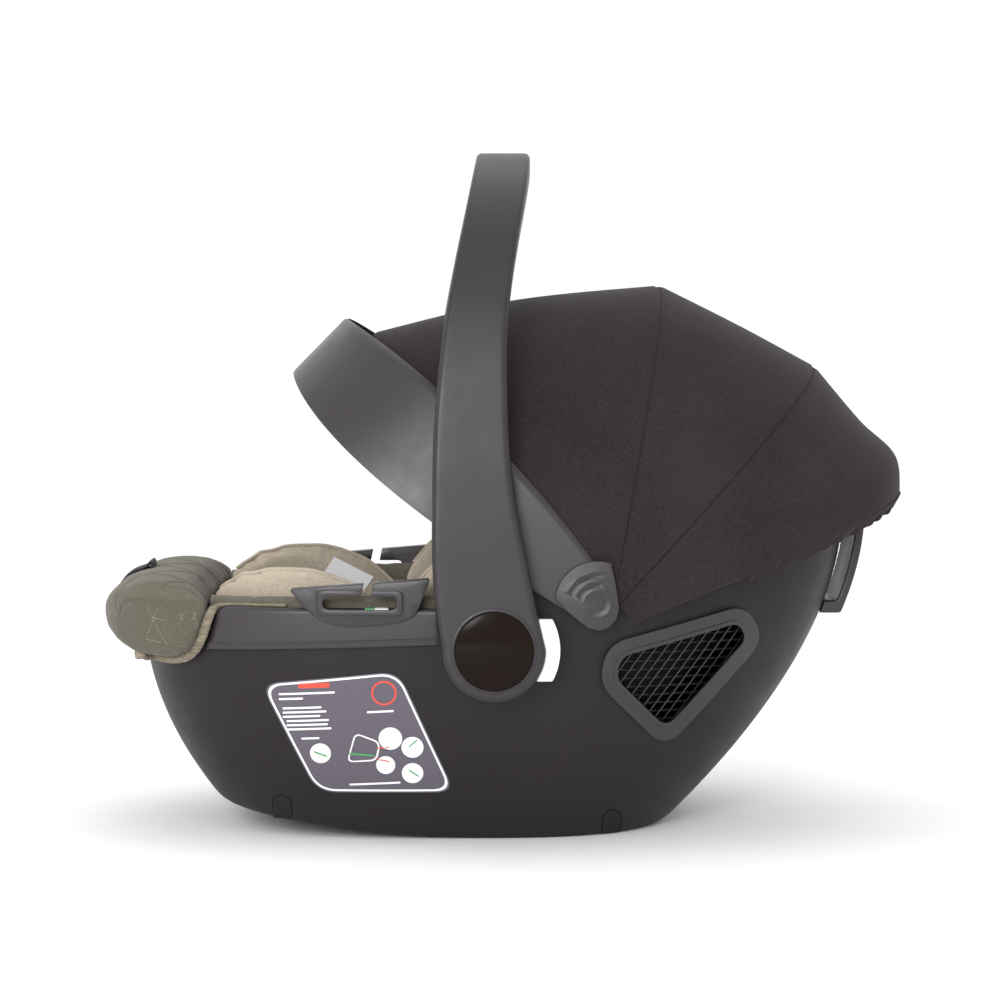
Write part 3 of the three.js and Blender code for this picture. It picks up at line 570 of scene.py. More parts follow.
bow_middles = [(0, -9.4), (0.12, -18), (0.32, -26), (0.5, -27), (0.7, -21), (1, 1.7)]
bow_widths = [(0, 83), (0.12, 79), (0.2, 74), (0.32, 65), (0.5, 57.5), (0.72, 49), (1, 45)]


def bow_path(t):
    angle = math.pi * (1 - math.cos(math.pi * clamp01(t))) / 2
    y = -bow_half * signed_power(math.cos(angle), bow_power)
    return Vector((y, hub_z + bow_rise * abs(math.sin(angle)) ** bow_power))


def edge_section(turn, half, deep, fillet):
    """A flat bar's section with rounded edges: place across its width, and in its depth."""
    angle = turn * 2 * math.pi
    corner = (math.copysign(1, math.cos(angle)), math.copysign(1, math.sin(angle)))
    squeeze = math.atan2(abs(math.sin(angle)), abs(math.cos(angle))) / (math.pi / 2)
    if squeeze < 0.25:
        return corner[0] * half, corner[1] * (deep - fillet) * squeeze / 0.25
    if squeeze > 0.6:
        return corner[0] * (half - fillet) * (1 - squeeze) / 0.4, corner[1] * deep
    bend = (squeeze - 0.25) / 0.35 * math.pi / 2
    return (corner[0] * (half - fillet * (1 - math.cos(bend))),
            corner[1] * (deep - fillet * (1 - math.sin(bend))))


def bow_point(t, across, inward):
    at = bow_path(t)
    ahead = (bow_path(t + 0.004) - bow_path(t - 0.004)).normalized()
    share = (at.y - hub_z) / bow_rise
    return Vector((through(bow_middles, share) + across, at.x + ahead.y * inward,
                   at.y - ahead.x * inward))


def bow_width(t):
    return through(bow_widths, (bow_path(t).y - hub_z) / bow_rise) / 2


turn_rows, bow_rows = 14, 150


def handle_point(u, v):
    row = v * (bow_rows + 2 * turn_rows)
    t = clamp01((row - turn_rows) / bow_rows)
    lowest = 0.0 if t < 0.5 else 1.0
    folded = max(turn_rows - row, row - turn_rows - bow_rows, 0) / turn_rows
    t = mix(0.0005, 0.9995, t)
    across, inward = edge_section(u, bow_width(t), bow_thick / 2, 4.5)
    if folded <= 0:
        return bow_point(t, across, inward)
    turn = folded * math.pi / 2
    place = bow_point(t, 0, inward)
    return Vector((hub_x + across * math.cos(turn), place.y,
                   place.z - abs(across) * math.sin(turn)))


handle = skin("handle", 64, bow_rows + 2 * turn_rows, handle_point)


def liner_skin(name, inner, outer, narrower, reach):
    def where(u, v):
        t = mix(reach, 1 - reach, v)
        across, inward = edge_section(u, bow_width(t) - narrower, (inner - outer) / 2, 1.2)
        return bow_point(t, across, inward + (inner + outer) / 2)
    return skin(name, 40, 110, where, fill=True)


combine(handle, liner_skin("cutter", bow_thick / 2 + 9, bow_thick / 2 - 8, 4, 0.13))
for side in (-1, 1):
    bpy.ops.object.select_all(action="DESELECT")
    bpy.ops.mesh.primitive_cylinder_add(vertices=96, radius=32, depth=60,
                                        rotation=(math.pi / 2, 0, 0),
                                        location=(hub_x, side * (217 + 30), hub_z))
    bpy.ops.object.transform_apply(location=True, rotation=True, scale=True)
    combine(handle, bpy.context.object)
    bpy.ops.object.select_all(action="DESELECT")
    bpy.ops.mesh.primitive_cube_add(size=1, location=(hub_x + 127.6, side * 210.5, hub_z))
    bpy.ops.transform.resize(value=(200, 7.7, 50.8))
    bpy.ops.object.transform_apply(location=True, rotation=True, scale=True)
    combine(handle, bpy.context.object)
# The bow and its liner wear the satin plastic darkened with painted shade.
settle(handle, handle_plastic, "handle", "satin_plastic", "handle_bow")
liner = liner_skin("handle_grip_liner", bow_thick / 2 - 1, bow_thick / 2 - 7.5, 4.8, 0.133)
settle(liner, handle_plastic, "handle", "satin_plastic", "handle_liner")

# ---- Hub caps and release buttons ----
# A glossy cap snaps into each hub over the pivot bolt. Behind the hub, the white button
# that frees the handle lock shows as a crescent.
gloss_plastic = moulded("gloss_plastic", (0.007, 0.0035, 0.0022), (0.009, 0.0045, 0.003), 0.12,
                        grain=0.02, grain_scale=400, specular=0.1)
white_plastic = moulded("white_plastic", (0.78, 0.78, 0.76), (0.84, 0.84, 0.82), 0.38, grain=0.08)
sides = ((-1, "left"), (1, "right"))


def circle(x, z, radius, steps=40):
    return [(x + radius * math.cos(a), z + radius * math.sin(a))
            for a in np.linspace(0, 2 * math.pi, steps + 1)[:-1]]


for side, name in sides:
    cap = plate(f"cap_{name}", circle(hub_x, hub_z, 31.4, 96),
                *sorted((side * 217.6, side * 221.6)), edge=0.9, edge_steps=3)
    settle(cap, gloss_plastic, "handle", "gloss_dark", f"hub_cap_{name}")
    rim = plate(f"cap_rim_{name}", circle(hub_x, hub_z, 34.4, 96),
                *sorted((side * 219, side * 220.7)), edge=0.6)
    combine(rim, plate("cutter", circle(hub_x, hub_z, 32.6, 96), *sorted((side * 210, side * 230))))
    # The rim wears the satin plastic darkened with painted shade.
    settle(rim, handle_plastic, "handle", "satin_plastic")
    crescent = [(hub_x + 53 * math.cos(a), hub_z + 53 * math.sin(a))
                for a in np.linspace(-0.49, 0.49, 30)]
    crescent += [(hub_x + 34, hub_z + 25), (hub_x + 34, hub_z - 25)]
    button = plate(f"button_{name}", crescent, *sorted((side * 207, side * 214)),
                   edge=1.4, edge_steps=3)
    settle(button, white_plastic, f"release_button_{name}", "white_plastic",
           f"release_button_{name}")

# ---- Canopy visor ----
# A thin, stiff band of satin plastic arches over the opening. Its two arms taper down to
# the canopy's pivots.
fabric_half, fabric_thick = 190.8, 1.8
visor_half, visor_thick = 193.8, 2.4
canopy_power = 2 / 2.8


def hoop(t):
    """Height share and width share of a hoop over the seat, from one root to the other."""
    angle = math.pi * (1 - math.cos(math.pi * t)) / 2
    return (abs(math.sin(angle)) ** canopy_power, -signed_power(math.cos(angle), canopy_power))


def bezier(points, t):
    a, b, c, d = (Vector(p) for p in points)
    return a * (1 - t) ** 3 + b * 3 * t * (1 - t) ** 2 + c * 3 * t * t * (1 - t) + d * t ** 3


visor_low = ((60, 190), (-62, 262), (-150, 332), (-177, 387))
visor_high = ((86, 214), (30, 300), (-62, 392), (-132, 433))
pivot = Vector((74, 202))


def thin_band(u):
    """Round a thin band's section: place across its width, and depth from its outside."""
    turn = u % 1
    if turn < 0.5:
        return clamp01(turn / 0.5), 0.0
    return clamp01((1 - turn) / 0.5), 1.0


def visor_point(u, v):
    share, sideways = hoop(mix(0.012, 0.988, v))
    across, depth = thin_band(u)
    at_edge = across in (0.0, 1.0)
    at = bezier(visor_low, share).lerp(bezier(visor_high, share),
                                       across if at_edge else mix(0.006, 0.994, across))
    inward = visor_thick * (mix(0.12, 0.88, depth) if at_edge else depth)
    at = pivot + (at - pivot) * (1 - inward * share / max((at - pivot).length, 1))
    return Vector((at.x, (visor_half - inward) * sideways, at.y))


visor = skin("visor_band", 48, 150, visor_point, fill=True)
settle(visor, satin_plastic, "visor", "satin_plastic", "visor", sharp=50)

# ---- Canopy hinge caps ----
# A flat five-sided cover over the end of each visor arm, with two curved ridges.
hinge_outline = [tuple(pivot + 34.6 * Vector((math.cos(a), math.sin(a))))
                 for a in np.radians(np.linspace(71, 173, 18))]
hinge_outline += [tuple(pivot + Vector(p))
                  for p in ((-24, -6.5), (-13.5, -15), (-7, -19.6), (2, -21.6),
                            (10, -18.6), (15.4, -12), (17.6, -3.5), (15.5, 12))]


def arc_band(inner, outer, start, end, steps=22):
    """A strip along an arc round the canopy's pivot, with round ends."""
    middle, half = (inner + outer) / 2, (outer - inner) / 2
    band = [pivot + outer * Vector((math.cos(a), math.sin(a)))
            for a in np.radians(np.linspace(start, end, steps))]
    ends = []
    for angle, turn in ((end, 1), (start, -1)):
        bearing = math.radians(angle)
        centre = pivot + middle * Vector((math.cos(bearing), math.sin(bearing)))
        first = angle + (0 if turn > 0 else 180)
        ends.append([centre + half * Vector((math.cos(a), math.sin(a)))
                     for a in np.radians(turn * np.linspace(0, 180, 8)[1:-1] + first)])
    back = [pivot + inner * Vector((math.cos(a), math.sin(a)))
            for a in np.radians(np.linspace(end, start, steps))]
    return band + ends[0] + back + ends[1]


hinge = plate("hinge_cap_r", hinge_outline, 194.4, 197, edge=0.7, edge_steps=3)
for band in (arc_band(20.6, 24.2, 76, 158), arc_band(12.9, 16.4, 76, 154), arc_band(5.6, 8, -150, 22)):
    combine(hinge, plate("cutter", band, 195.6, 205))
for band in (arc_band(17.6, 19.2, 74, 158), arc_band(10.4, 11.7, -178, 178),
             arc_band(25.4, 26.8, 74, 158)):
    combine(hinge, plate("ridge", band, 196, 197.7), "UNION")
bevel(hinge, 0.3, angle=50)
other_hinge = mirrored(hinge, "hinge_cap_l")
settle(hinge, satin_plastic, "visor", "satin_plastic", "canopy_hinge_cap_right")
settle(other_hinge, satin_plastic, "visor", "satin_plastic", "canopy_hinge_cap_left")

# ---- Canopy fabric ----
# Three gores of black stretch fabric, sewn together over two hidden ribs. They gather at
# the pivots and are stretched from the visor back to an elastic hem behind the head.
canopy_fabric, nodes, links = finish_nodes("canopy_fabric")
shader = nodes["Principled BSDF"]
place = nodes.new("ShaderNodeTexCoord").outputs["Object"]
cloud = noise(nodes, links, place, 14, 5, 0.6)
thread = noise(nodes, links, place, 900, 2, 0.6)
tone = blended(nodes, links, spread(nodes, links, cloud, 0, 1), (0.0175, 0.0128, 0.0142),
               (0.025, 0.019, 0.0208))
links.new(blended(nodes, links, spread(nodes, links, thread, 0, 0.5, 0.45, 0.75), tone,
                  (0.058, 0.046, 0.05)), shader.inputs["Base Color"])
shader.inputs["Roughness"].default_value = 0.95
shader.inputs["Specular IOR Level"].default_value = 0.12
shader.inputs["Sheen Weight"].default_value = 0.06
shader.inputs["Sheen Roughness"].default_value = 0.5
bumped(nodes, links, thread, 0.35, 0.0003)


def curve(points, t):
    """A smooth curve through points, at a share of its run."""
    spans = len(points) - 1
    i = min(int(t * spans), spans - 1)
    s = t * spans - i
    p = [Vector(points[min(max(i + k, 0), spans)]) for k in (-1, 0, 1, 2)]
    return 0.5 * ((2 * p[1]) + (p[2] - p[0]) * s + (2 * p[0] - 5 * p[1] + 4 * p[2] - p[3]) * s * s
                  + (3 * p[1] - 3 * p[2] + p[3] - p[0]) * s ** 3)


def gore(name, roots, tips, columns):
    def where(u, v):
        share, sideways = hoop(mix(0.03, 0.97, v))
        across, depth = thin_band(u)
        root = Vector(roots[0]).lerp(Vector(roots[1]), across)
        tip = curve(tips, across)
        ahead = (tip - root).normalized()
        seam = min(across, 1 - across)
        dip = 1.3 * max(1 - seam * 40, 0) ** 2
        sunk = fabric_thick * depth + dip
        at = root + ahead * ((tip - root).length - sunk) * share
        return Vector((at.x, (fabric_half - sunk) * sideways, at.y))
    return skin(name, columns, 110, where, fill=True)


seam_root, hem_root = (86, 195), (98, 183)
front_tips = [(-110, 419), (10, 447), (136, 460)]
middle_tips = [(136, 460), (206, 425), (269, 391)]
rear_tips = [(269, 391), (308, 345), (338, 316), (342, 283)]
for name, node, roots, tips, columns, parent, child, cut, area, ribs in (
    ("gore_front", "canopy_front_panel", ((78, 210), seam_root), front_tips, 64, "middle_rib", "visor",
     (0.26, 0.86), 0.117, ("visor", "canopy_rib_middle")),
    ("gore_middle", "canopy_middle_panel", (seam_root, seam_root), middle_tips, 48, "rear_rib",
     "middle_rib", (0.16, 0.8), 0.071, ("canopy_rib_middle", "canopy_rib_rear")),
    ("gore_rear", "canopy_rear_panel", (seam_root, hem_root), rear_tips, 56, "seat", "rear_rib",
     (0.145, 0.78), 0.069, ("canopy_rib_rear", "outer_shell")),
):
    panel = gore(name, roots, tips, columns)
    to_frame(panel)
    give_finish(panel, canopy_fabric, 60)
    first, last = Vector(tips[-1]), Vector(tips[0])
    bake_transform(panel, parent, child, start=((first.x + shift) * MM, 0, first.y * MM),
             end=((last.x + shift) * MM, 0, last.y * MM))
    # Weights by angle about the gores' shared root keep the seams shut as the canopy folds
    root = Vector(seam_root)
    low_turn, high_turn = (math.atan2(*(tip - root).yx) for tip in (first, last))
    for vertex, weight in zip(panel.data.vertices, panel.data.attributes["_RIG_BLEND"].data):
        turn = math.atan2(vertex.co.z / MM - root.y, vertex.co.x / MM - shift - root.x)
        weight.value = smooth_step(low_turn + 0.004, high_turn - 0.004, turn)
    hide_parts(node)

# Each of the two cross seams is closed by a tape that lies under it, on the hidden rib
tape_depth = 2.4
for tip, body in (((136, 460), "middle_rib"), ((269, 391), "rear_rib")):
    ahead = Vector(tip) - Vector(seam_root)
    columns = []
    for i in range(91):
        share, sideways = hoop(mix(0.035, 0.965, i / 90))
        at = Vector(seam_root) + ahead * share * (1 - tape_depth / ahead.length)
        columns.append(Vector((at.x, (fabric_half - tape_depth) * sideways, at.y)))

    def tape_point(u, v, columns=columns, ahead=ahead):
        i = round(v * 90)
        along = Vector((ahead.y, 0, -ahead.x)).normalized()
        run = (columns[min(i + 1, 90)] - columns[max(i - 1, 0)]).normalized()
        out = run.cross(along).normalized()
        angle = 2 * math.pi * u
        return columns[i] + along * 3.2 * math.cos(angle) + out * 0.6 * math.sin(angle)

    tape = skin(f"seam_tape_{body}", 12, 90, tape_point, fill=True)
    settle(tape, canopy_fabric, body, "canopy_fabric", sharp=60)

# ---- Vents ----
# On each side a raised frame, rounded outside and stepped inside, is clipped round an
# opening in the shell. It holds slanted bars in front of level louvres.
vent = plate("vent_r", rounded(vent_outline, 20, 9), 0.2, 4.0)
combine(vent, plate("lip", rounded(grown(vent_opening, 3.2), 14, 9), 2, 5.2), "UNION")
combine(vent, plate("cutter", rounded(vent_opening, 12, 9), -10, 20))
bevel(vent, 1.2, 3)
slice_up(vent, 9)
louvre = plate("louvres_r", [(62, 0), (232, 0), (232, 1.3), (62, 1.3)], -10, -4.4)
louvres = [louvre] + [copy_of(louvre, "louvre") for _ in range(15)]
for i, piece in enumerate(louvres):
    piece.data.transform(Matrix.Translation((0, 0, 80 + 7.15 * i)))
bar = plate("bars_r", [(0, 60), (1.15, 60), (95, 190), (93.85, 190)], -4.3, -1.6)
bars = [bar] + [copy_of(bar, "bar") for _ in range(24)]
for i, piece in enumerate(bars):
    piece.data.transform(Matrix.Translation((-20 + 8.6 * i, 0, 0)))
for group in (louvres, bars):
    grid = join_all(group)
    slice_up(grid, 9, axes=(0,))
    combine(grid, plate("cutter", rounded(grown(vent_opening, 2), 12, 9), -30, 30), "INTERSECT")
other_vent, other_louvres, other_bars = (copy_of(piece, piece.name[:-1] + "l")
                                         for piece in (vent, louvre, bar))
for pieces, side, name in (((vent, louvre, bar), 1, "right"),
                           ((other_vent, other_louvres, other_bars), -1, "left")):
    for piece in pieces:
        wrap(piece, side)
    settle(pieces[0], satin_plastic, "seat", "satin_plastic", f"vent_frame_{name}")
    settle(pieces[1], shell_plastic, "seat", "satin_plastic", f"vent_louvres_{name}")
    settle(pieces[2], satin_plastic, "seat", "satin_plastic")

# ---- Information labels ----
# A printed film on each side wall: a white border, plain bars, discs and a ring. Each
# printed mark is a skin of its own on the film, and says nothing.
label_film = moulded("label_film", (0.092, 0.08, 0.104), (0.104, 0.092, 0.118), 0.34, grain=0.03)
label_white = moulded("label_white", (0.78, 0.78, 0.8), (0.84, 0.84, 0.86), 0.34, grain=0.03)
label_green = moulded("label_green", (0.07, 0.3, 0.1), (0.09, 0.35, 0.12), 0.34, grain=0.03)
label_red = moulded("label_red", (0.62, 0.06, 0.035), (0.68, 0.075, 0.045), 0.34, grain=0.03)
label_outline = [(-199, 134), (-86, 146), (-40, 42), (-154, 41)]


def ring(name, path, width, low, high):
    piece = plate(name, path, low, high)
    count = len(path)
    centre = sum((Vector(p) for p in path), Vector((0, 0))) / count
    arms = [Vector(p) - centre for p in path]
    inner = [tuple(centre + arm * (1 - width / arm.length)) for arm in arms]
    combine(piece, plate("cutter", inner, low - 5, high + 5))
    return piece


def stroke(x, z, length, thick, slope=0.0):
    far, rise = x + length, z + slope * length
    return rounded([(x, z), (far, rise), (far, rise + thick), (x, z + thick)], thick * 0.48, 3)


def label_set(side, name):
    film = plate(f"label_{name}", rounded(label_outline, 16, 9), 0.1, 0.7)
    border = plate(f"label_border_{name}", rounded(grown(label_outline, -1.2), 15.4, 9), 0.5, 0.85)
    combine(border, plate("cutter", rounded(grown(label_outline, -2.9), 14.4, 9), -5, 5))
    printed = (0.5, 0.85)
    white = [plate("mark", circle(x, z, r), *printed) for x, z, r in
             ((-150.5, 75.5, 8.6), (-93, 89, 9.6), (-75, 81.5, 9), (-97, 66, 7.8), (-75, 59, 8.8))]
    lines = [(-184, 124.5, 46), (-184, 120.3, 20), (-181, 112.5, 32), (-181, 108.9, 36),
             (-181, 105.3, 31), (-178, 101.7, 35), (-178, 98.1, 34), (-178, 94.5, 37),
             (-166, 87, 15), (-112, 110.5, 22), (-127, 47.5, 42)]
    white += [plate("mark", stroke(x, z, length, 1.7, 0.055), *printed) for x, z, length in lines]
    seat_sign = rounded([(-129, 68), (-104, 69.5), (-101, 86), (-122, 94)], 6, 6)
    white.append(ring("mark", seat_sign, 1.4, *printed))
    green = [plate("mark", stroke(x, z, length, 1.5, slope), 0.8, 0.95) for x, z, length, slope in
             ((-156, 76, 11, -0.35), (-78, 81, 7, 0.9), (-78, 61, 8, -0.7), (-127, 75, 21, -0.08))]
    red = [ring("mark", circle(-98, 127.5, 10.4), 1.7, *printed),
           plate("mark", stroke(-168, 130.5, 26, 4.2, 0.055), *printed)]
    red += [plate("mark", stroke(x, z, 10, 1.1, slope), *printed)
            for x, z, slope in ((-104, 80, 0.1), (-104, 70.5, -0.2))]
    sets = [[film], [border, *white], green, red]
    for pieces, finish, title in zip(sets, (label_film, label_white, label_green, label_red),
                                     ("film", "print_white", "print_green", "print_red")):
        piece = join_all(pieces)
        piece.name = f"label_{title}_{name}"
        slice_up(piece, 8)
        wrap(piece, side)
        replaced = [f"info_label_{name}"] if title == "film" else []
        settle(piece, finish, "seat", "label_film", *replaced)


for side, name in sides:
    label_set(side, name)
for side, name in sides:
    for start, length, finish, title in ((-113, 8, label_green, "green"),
                                         (-105, 11, label_white, "white")):
        marker = plate(f"belt_marker_{title}_{name}", stroke(start, 196.6, length, 1.5), -4.5, 8)
        slice_up(marker, 4)
        wrap(marker, side)
        settle(marker, finish, "seat", "label_film")

# ---- Foot plugs ----
# Four rubber plugs, moulded to an arch, are pressed into notches in the rocker's edge.
# They stand just proud of the wall.
rubber = moulded("rubber", (0.009, 0.0085, 0.009), (0.013, 0.0125, 0.013), 0.7, grain=0.4,
                 grain_scale=1200, specular=0.3)
for side, name in sides:
    for x, end in zip(foot_places, ("front", "rear")):
        plug = plate(f"foot_{end}_{name}", foot_arch(x, 0, rocker_height(x)), -8, 0.4, edge=0.5)
        wrap(plug, side)
        settle(plug, rubber, "seat", "rubber", f"foot_plug_{end}_{name}")

# ---- Canopy hem frill ----
# A narrow gathered frill of the same fabric hangs from the elastic hem behind the head.
# It is sewn in small folds and tucked against the shell.
frill_low, frill_high = 0.17, 0.83


def frill_point(u, v):
    share, sideways = hoop(mix(frill_low, frill_high, v))
    x, z = mix(98, 342, share), mix(183, 283, share)
    fade = smooth_step(0, 0.07, v) * smooth_step(0, 0.07, 1 - v)
    across, depth = thin_band(u)
    fold = (1.5 * math.sin(170 * v) + 0.9 * math.sin(283 * v + 1)) * across * fade
    drop = mix(1, 11.5, fade) * across
    out = 1 - 5.5 * across - 1.2 * depth
    return Vector((x + fold * 0.5 + (out + fold) * 0.8 * share - 0.35 * drop,
                   (fabric_half - 2 + (out + fold) * (1 - share)) * sideways, z + 1.5 - drop))


frill = skin("hem_frill", 20, 520, frill_point, fill=True)
settle(frill, canopy_fabric, "seat", "canopy_fabric", sharp=70)

# ---- Shoulder belt guide on the back ----
# A bridge of satin plastic stands on the shell's back, and the car's shoulder belt passes
# behind it. Its edges are well rounded.


def level_solid(name, ring_at, low, high, out, columns=150, rows=44):
    """A solid made of plan rings stacked from one level to another."""
    def where(u, v):
        z = mix(low, high, v)
        return Vector((*plan_point(ring_at(z), out, 2 * math.pi * u), z))
    return skin(name, columns, rows, where, fill=True)


def box(name, low, high):
    bpy.ops.object.select_all(action="DESELECT")
    bpy.ops.mesh.primitive_cube_add(size=1)
    piece = bpy.context.object
    piece.name = name
    for vertex in piece.data.vertices:
        vertex.co = [mix(a, b, c + 0.5) for a, b, c in zip(low, high, vertex.co)]
    return piece


back_guide = level_solid("back_guide", shell_ring, 176, 262, 19)
combine(back_guide, level_solid("cutter", shell_ring, 150, 290, 0.4))
combine(back_guide, box("cutter", (240, -38, 179), (360, 38, 259)), "INTERSECT")
channel = level_solid("cutter", shell_ring, 190, 248, 11.5)
combine(channel, box("other", (200, -60, 180), (400, 60, 260)), "INTERSECT")
combine(back_guide, channel)
apply(back_guide, "REMESH", mode="VOXEL", voxel_size=1.4)
apply(back_guide, "SMOOTH", factor=0.5, iterations=7)
settle(back_guide, satin_plastic, "seat", "satin_plastic", "rear_belt_guide", sharp=180)

# ---- Seat cover ----
# A quilted olive-grey cover lines the foam bowl and laps over the rim. It is knitted
# fabric on thin foam, sewn through in diamonds.


def cloth_finish(name, dark, light, streak, coarse=1.0, relief=0.5):
    """Knitted or twilled cloth: slanted threads, flecks between them, and a soft bloom."""
    material, nodes, links = finish_nodes(name)
    shader = nodes["Principled BSDF"]
    place = nodes.new("ShaderNodeTexCoord").outputs["Object"]
    slant = nodes.new("ShaderNodeMapping")
    slant.inputs["Rotation"].default_value = (0.5, math.radians(52), 0.2)
    slant.inputs["Scale"].default_value = (160 / coarse, 900 / coarse, 1100 / coarse)
    links.new(place, slant.inputs["Vector"])
    threads = noise(nodes, links, slant.outputs["Vector"], 1, 2, 0.5)
    flecks = noise(nodes, links, place, 420 / coarse, 3, 0.6)
    cloud = noise(nodes, links, place, 11, 4, 0.55)
    tone = blended(nodes, links, spread(nodes, links, cloud, 0, 1), dark, light)
    tone = blended(nodes, links, spread(nodes, links, threads, 0, 0.75, 0.4, 0.72), tone, streak)
    tone = blended(nodes, links, spread(nodes, links, flecks, 0, 0.3, 0.55, 0.75), tone, dark)
    links.new(tone, shader.inputs["Base Color"])
    shader.inputs["Roughness"].default_value = 0.92
    shader.inputs["Specular IOR Level"].default_value = 0.15
    shader.inputs["Sheen Weight"].default_value = 0.12
    shader.inputs["Sheen Roughness"].default_value = 0.45
    bumped(nodes, links, threads, relief, 0.0005)
    return material


cover_fabric = cloth_finish("cover_fabric", (0.098, 0.088, 0.066), (0.122, 0.11, 0.086),
                            (0.16, 0.148, 0.118))
side_fabric = cloth_finish("side_fabric", (0.084, 0.08, 0.06), (0.1, 0.094, 0.072),
                           (0.135, 0.128, 0.1))
binding_fabric = cloth_finish("binding_fabric", (0.15, 0.128, 0.09), (0.2, 0.172, 0.125),
                              (0.34, 0.3, 0.23), coarse=2.2, relief=0.9)
thread_finish = moulded("thread", (0.3, 0.28, 0.22), (0.36, 0.33, 0.27), 0.7, grain=0.5)
bowl_low = 50


def bowl_ring(z):
    height = max(z, bowl_low)
    to_rim = clamp01((rim_foot - height) / (rim_foot - bowl_low))
    climb = (height - bowl_low) / 240
    return (mix(-272, -62, to_rim ** 2), mix(18, 280, climb ** 0.6),
            mix(150, 80, to_rim ** 2) + 0.08 * max(height - rim_foot, 0))


def cover_top(x):
    return float(np.interp(x, (-240, -60, -10, 40, 110, 200, 290, 340),
                           (201, 204.5, 205, 210, 214, 250, 294, 306)))


def cover_point(u, v):
    angle = 2 * math.pi * u
    top = 200.0
    for _ in range(6):
        x, y = plan_point(shell_ring(top), -8, angle)
        top = cover_top(x)
    if v < 0.12:
        z = top - 17 * (1 - v / 0.12)
        return Vector((*plan_point(shell_ring(z), -8 - 2.5 * (v / 0.12) ** 3, angle), z))
    inner = Vector((*plan_point(bowl_ring(top), 3, angle), top - 3))
    if v < 0.3:
        t = (v - 0.12) / 0.18
        at = Vector((*plan_point(shell_ring(top), -10.5, angle), top)).lerp(inner, t)
        at.z += 2.6 * math.sin(math.pi * t)
        return at
    if v < 0.9:
        z = mix(top - 3, bowl_low - 1, (v - 0.3) / 0.6)
        return Vector((*plan_point(bowl_ring(z), 3, angle), z))
    low = Vector((*plan_point(bowl_ring(bowl_low), 3, angle), bowl_low - 1))
    return low.lerp(Vector((-20, 0, bowl_low - 1)), (v - 0.9) / 0.1)


def diamond(a, b, pitch):
    """Distance to the nearest line of a diamond quilting."""
    lines = [abs((s + pitch / 2) % pitch - pitch / 2) for s in ((a + b) / 1.414, (a - b) / 1.414)]
    return min(lines)


def groove(piece, distance_at, deep, wide):
    """Sinks a piece's surface along sewn lines."""
    sunk = [(v, v.normal.copy()) for v in piece.data.vertices]
    for vertex, normal in sunk:
        away = distance_at(vertex.co, normal)
        if away < 3 * wide:
            vertex.co -= normal * deep * math.exp(-(away / wide) ** 2)


def surface_of(piece):
    return BVHTree.FromPolygons([v.co for v in piece.data.vertices],
                                [p.vertices for p in piece.data.polygons])


cover = skin("seat_cover", 300, 110, cover_point)
groove(cover, lambda at, n: diamond(at.x, at.y, 44) if abs(n.z) > 0.5 else diamond(at.x, at.z, 44),
       1.3, 2.2)
apply(cover, "SOLIDIFY", thickness=2.6, offset=0)
combine(cover, box("cutter", (-400, -250, 184), (-241, 250, 260)))
cover_surface = surface_of(cover)
settle(cover, cover_fabric, "seat", "cover_fabric", "seat_cover", sharp=60)

# ---- Foot flap ----
# The cover's front end wraps over the foot of the seat: a padded roll with quilted side
# panels. A knitted binding closes its lower edge, and its sewing is a light thread.


def puffed(piece, voxel, most, pressure=4.0):
    """The filling swells its fabric, by cloth simulation; no point moves past a limit."""
    piece.data.transform(Matrix.Scale(MM, 4))
    apply(piece, "REMESH", mode="VOXEL", voxel_size=voxel * MM)
    apply(piece, "SMOOTH", factor=0.5, iterations=5)
    count = len(piece.data.vertices)
    start, end = np.empty(count * 3), np.empty(count * 3)
    piece.data.vertices.foreach_get("co", start)
    alone(piece)
    cloth = piece.modifiers.new("cloth", "CLOTH")
    cloth.settings.quality = 4
    cloth.settings.mass = 0.3
    cloth.settings.tension_stiffness = 12
    cloth.settings.compression_stiffness = 12
    cloth.settings.shear_stiffness = 5
    cloth.settings.bending_stiffness = 0.4
    cloth.settings.use_pressure = True
    cloth.settings.uniform_pressure_force = pressure
    cloth.settings.effector_weights.gravity = 0
    for moment in range(1, 21):
        bpy.context.scene.frame_set(moment)
    bpy.ops.object.modifier_apply(modifier=cloth.name)
    piece.data.vertices.foreach_get("co", end)
    moved = (end - start).reshape(-1, 3)
    length = np.linalg.norm(moved, axis=1, keepdims=True)
    moved *= np.minimum(1, most * MM / np.maximum(length, 1e-9))
    piece.data.vertices.foreach_set("co", (start + moved.ravel()))
    bpy.context.scene.frame_set(1)
    apply(piece, "SMOOTH", factor=0.5, iterations=3)
    apply(piece, "SUBSURF", levels=1)
    piece.data.transform(Matrix.Scale(1 / MM, 4))


def spaced(points, pitch):
    """Points at an even pitch along a smooth curve through the given ones."""
    fine = [curve(points, i / 400) for i in range(401)]
    runs = np.cumsum([0] + [(b - a).length for a, b in zip(fine, fine[1:])])
    count = max(int(runs[-1] / pitch), 2)
    places = np.interp(np.linspace(0, runs[-1], count + 1), runs, np.linspace(0, 1, 401))
    return [curve(points, t) for t in places]


def eased(values, times):
    """A run of points, directions or sizes, evened out between its ends."""
    for _ in range(times):
        between = [(a + 2 * b + c) / 4 for a, b, c in zip(values, values[1:], values[2:])]
        values = [values[0], *between, values[-1]]
    return values


def laid(surface, points, lift):
    """Points moved onto a surface and lifted off it, with the surface's way out at each."""
    places, ways = [], []
    for point in points:
        at, normal, _, _ = surface.find_nearest(point)
        places.append(at + normal * lift)
        ways.append(normal)
    return eased(places, 4), eased(ways, 4)


def oval(wide, thick, steps=12, power=2.0):
    return [(wide / 2 * signed_power(math.cos(a), 2 / power),
             thick / 2 * signed_power(math.sin(a), 2 / power))
            for a in np.linspace(0, 2 * math.pi, steps + 1)[:-1]]


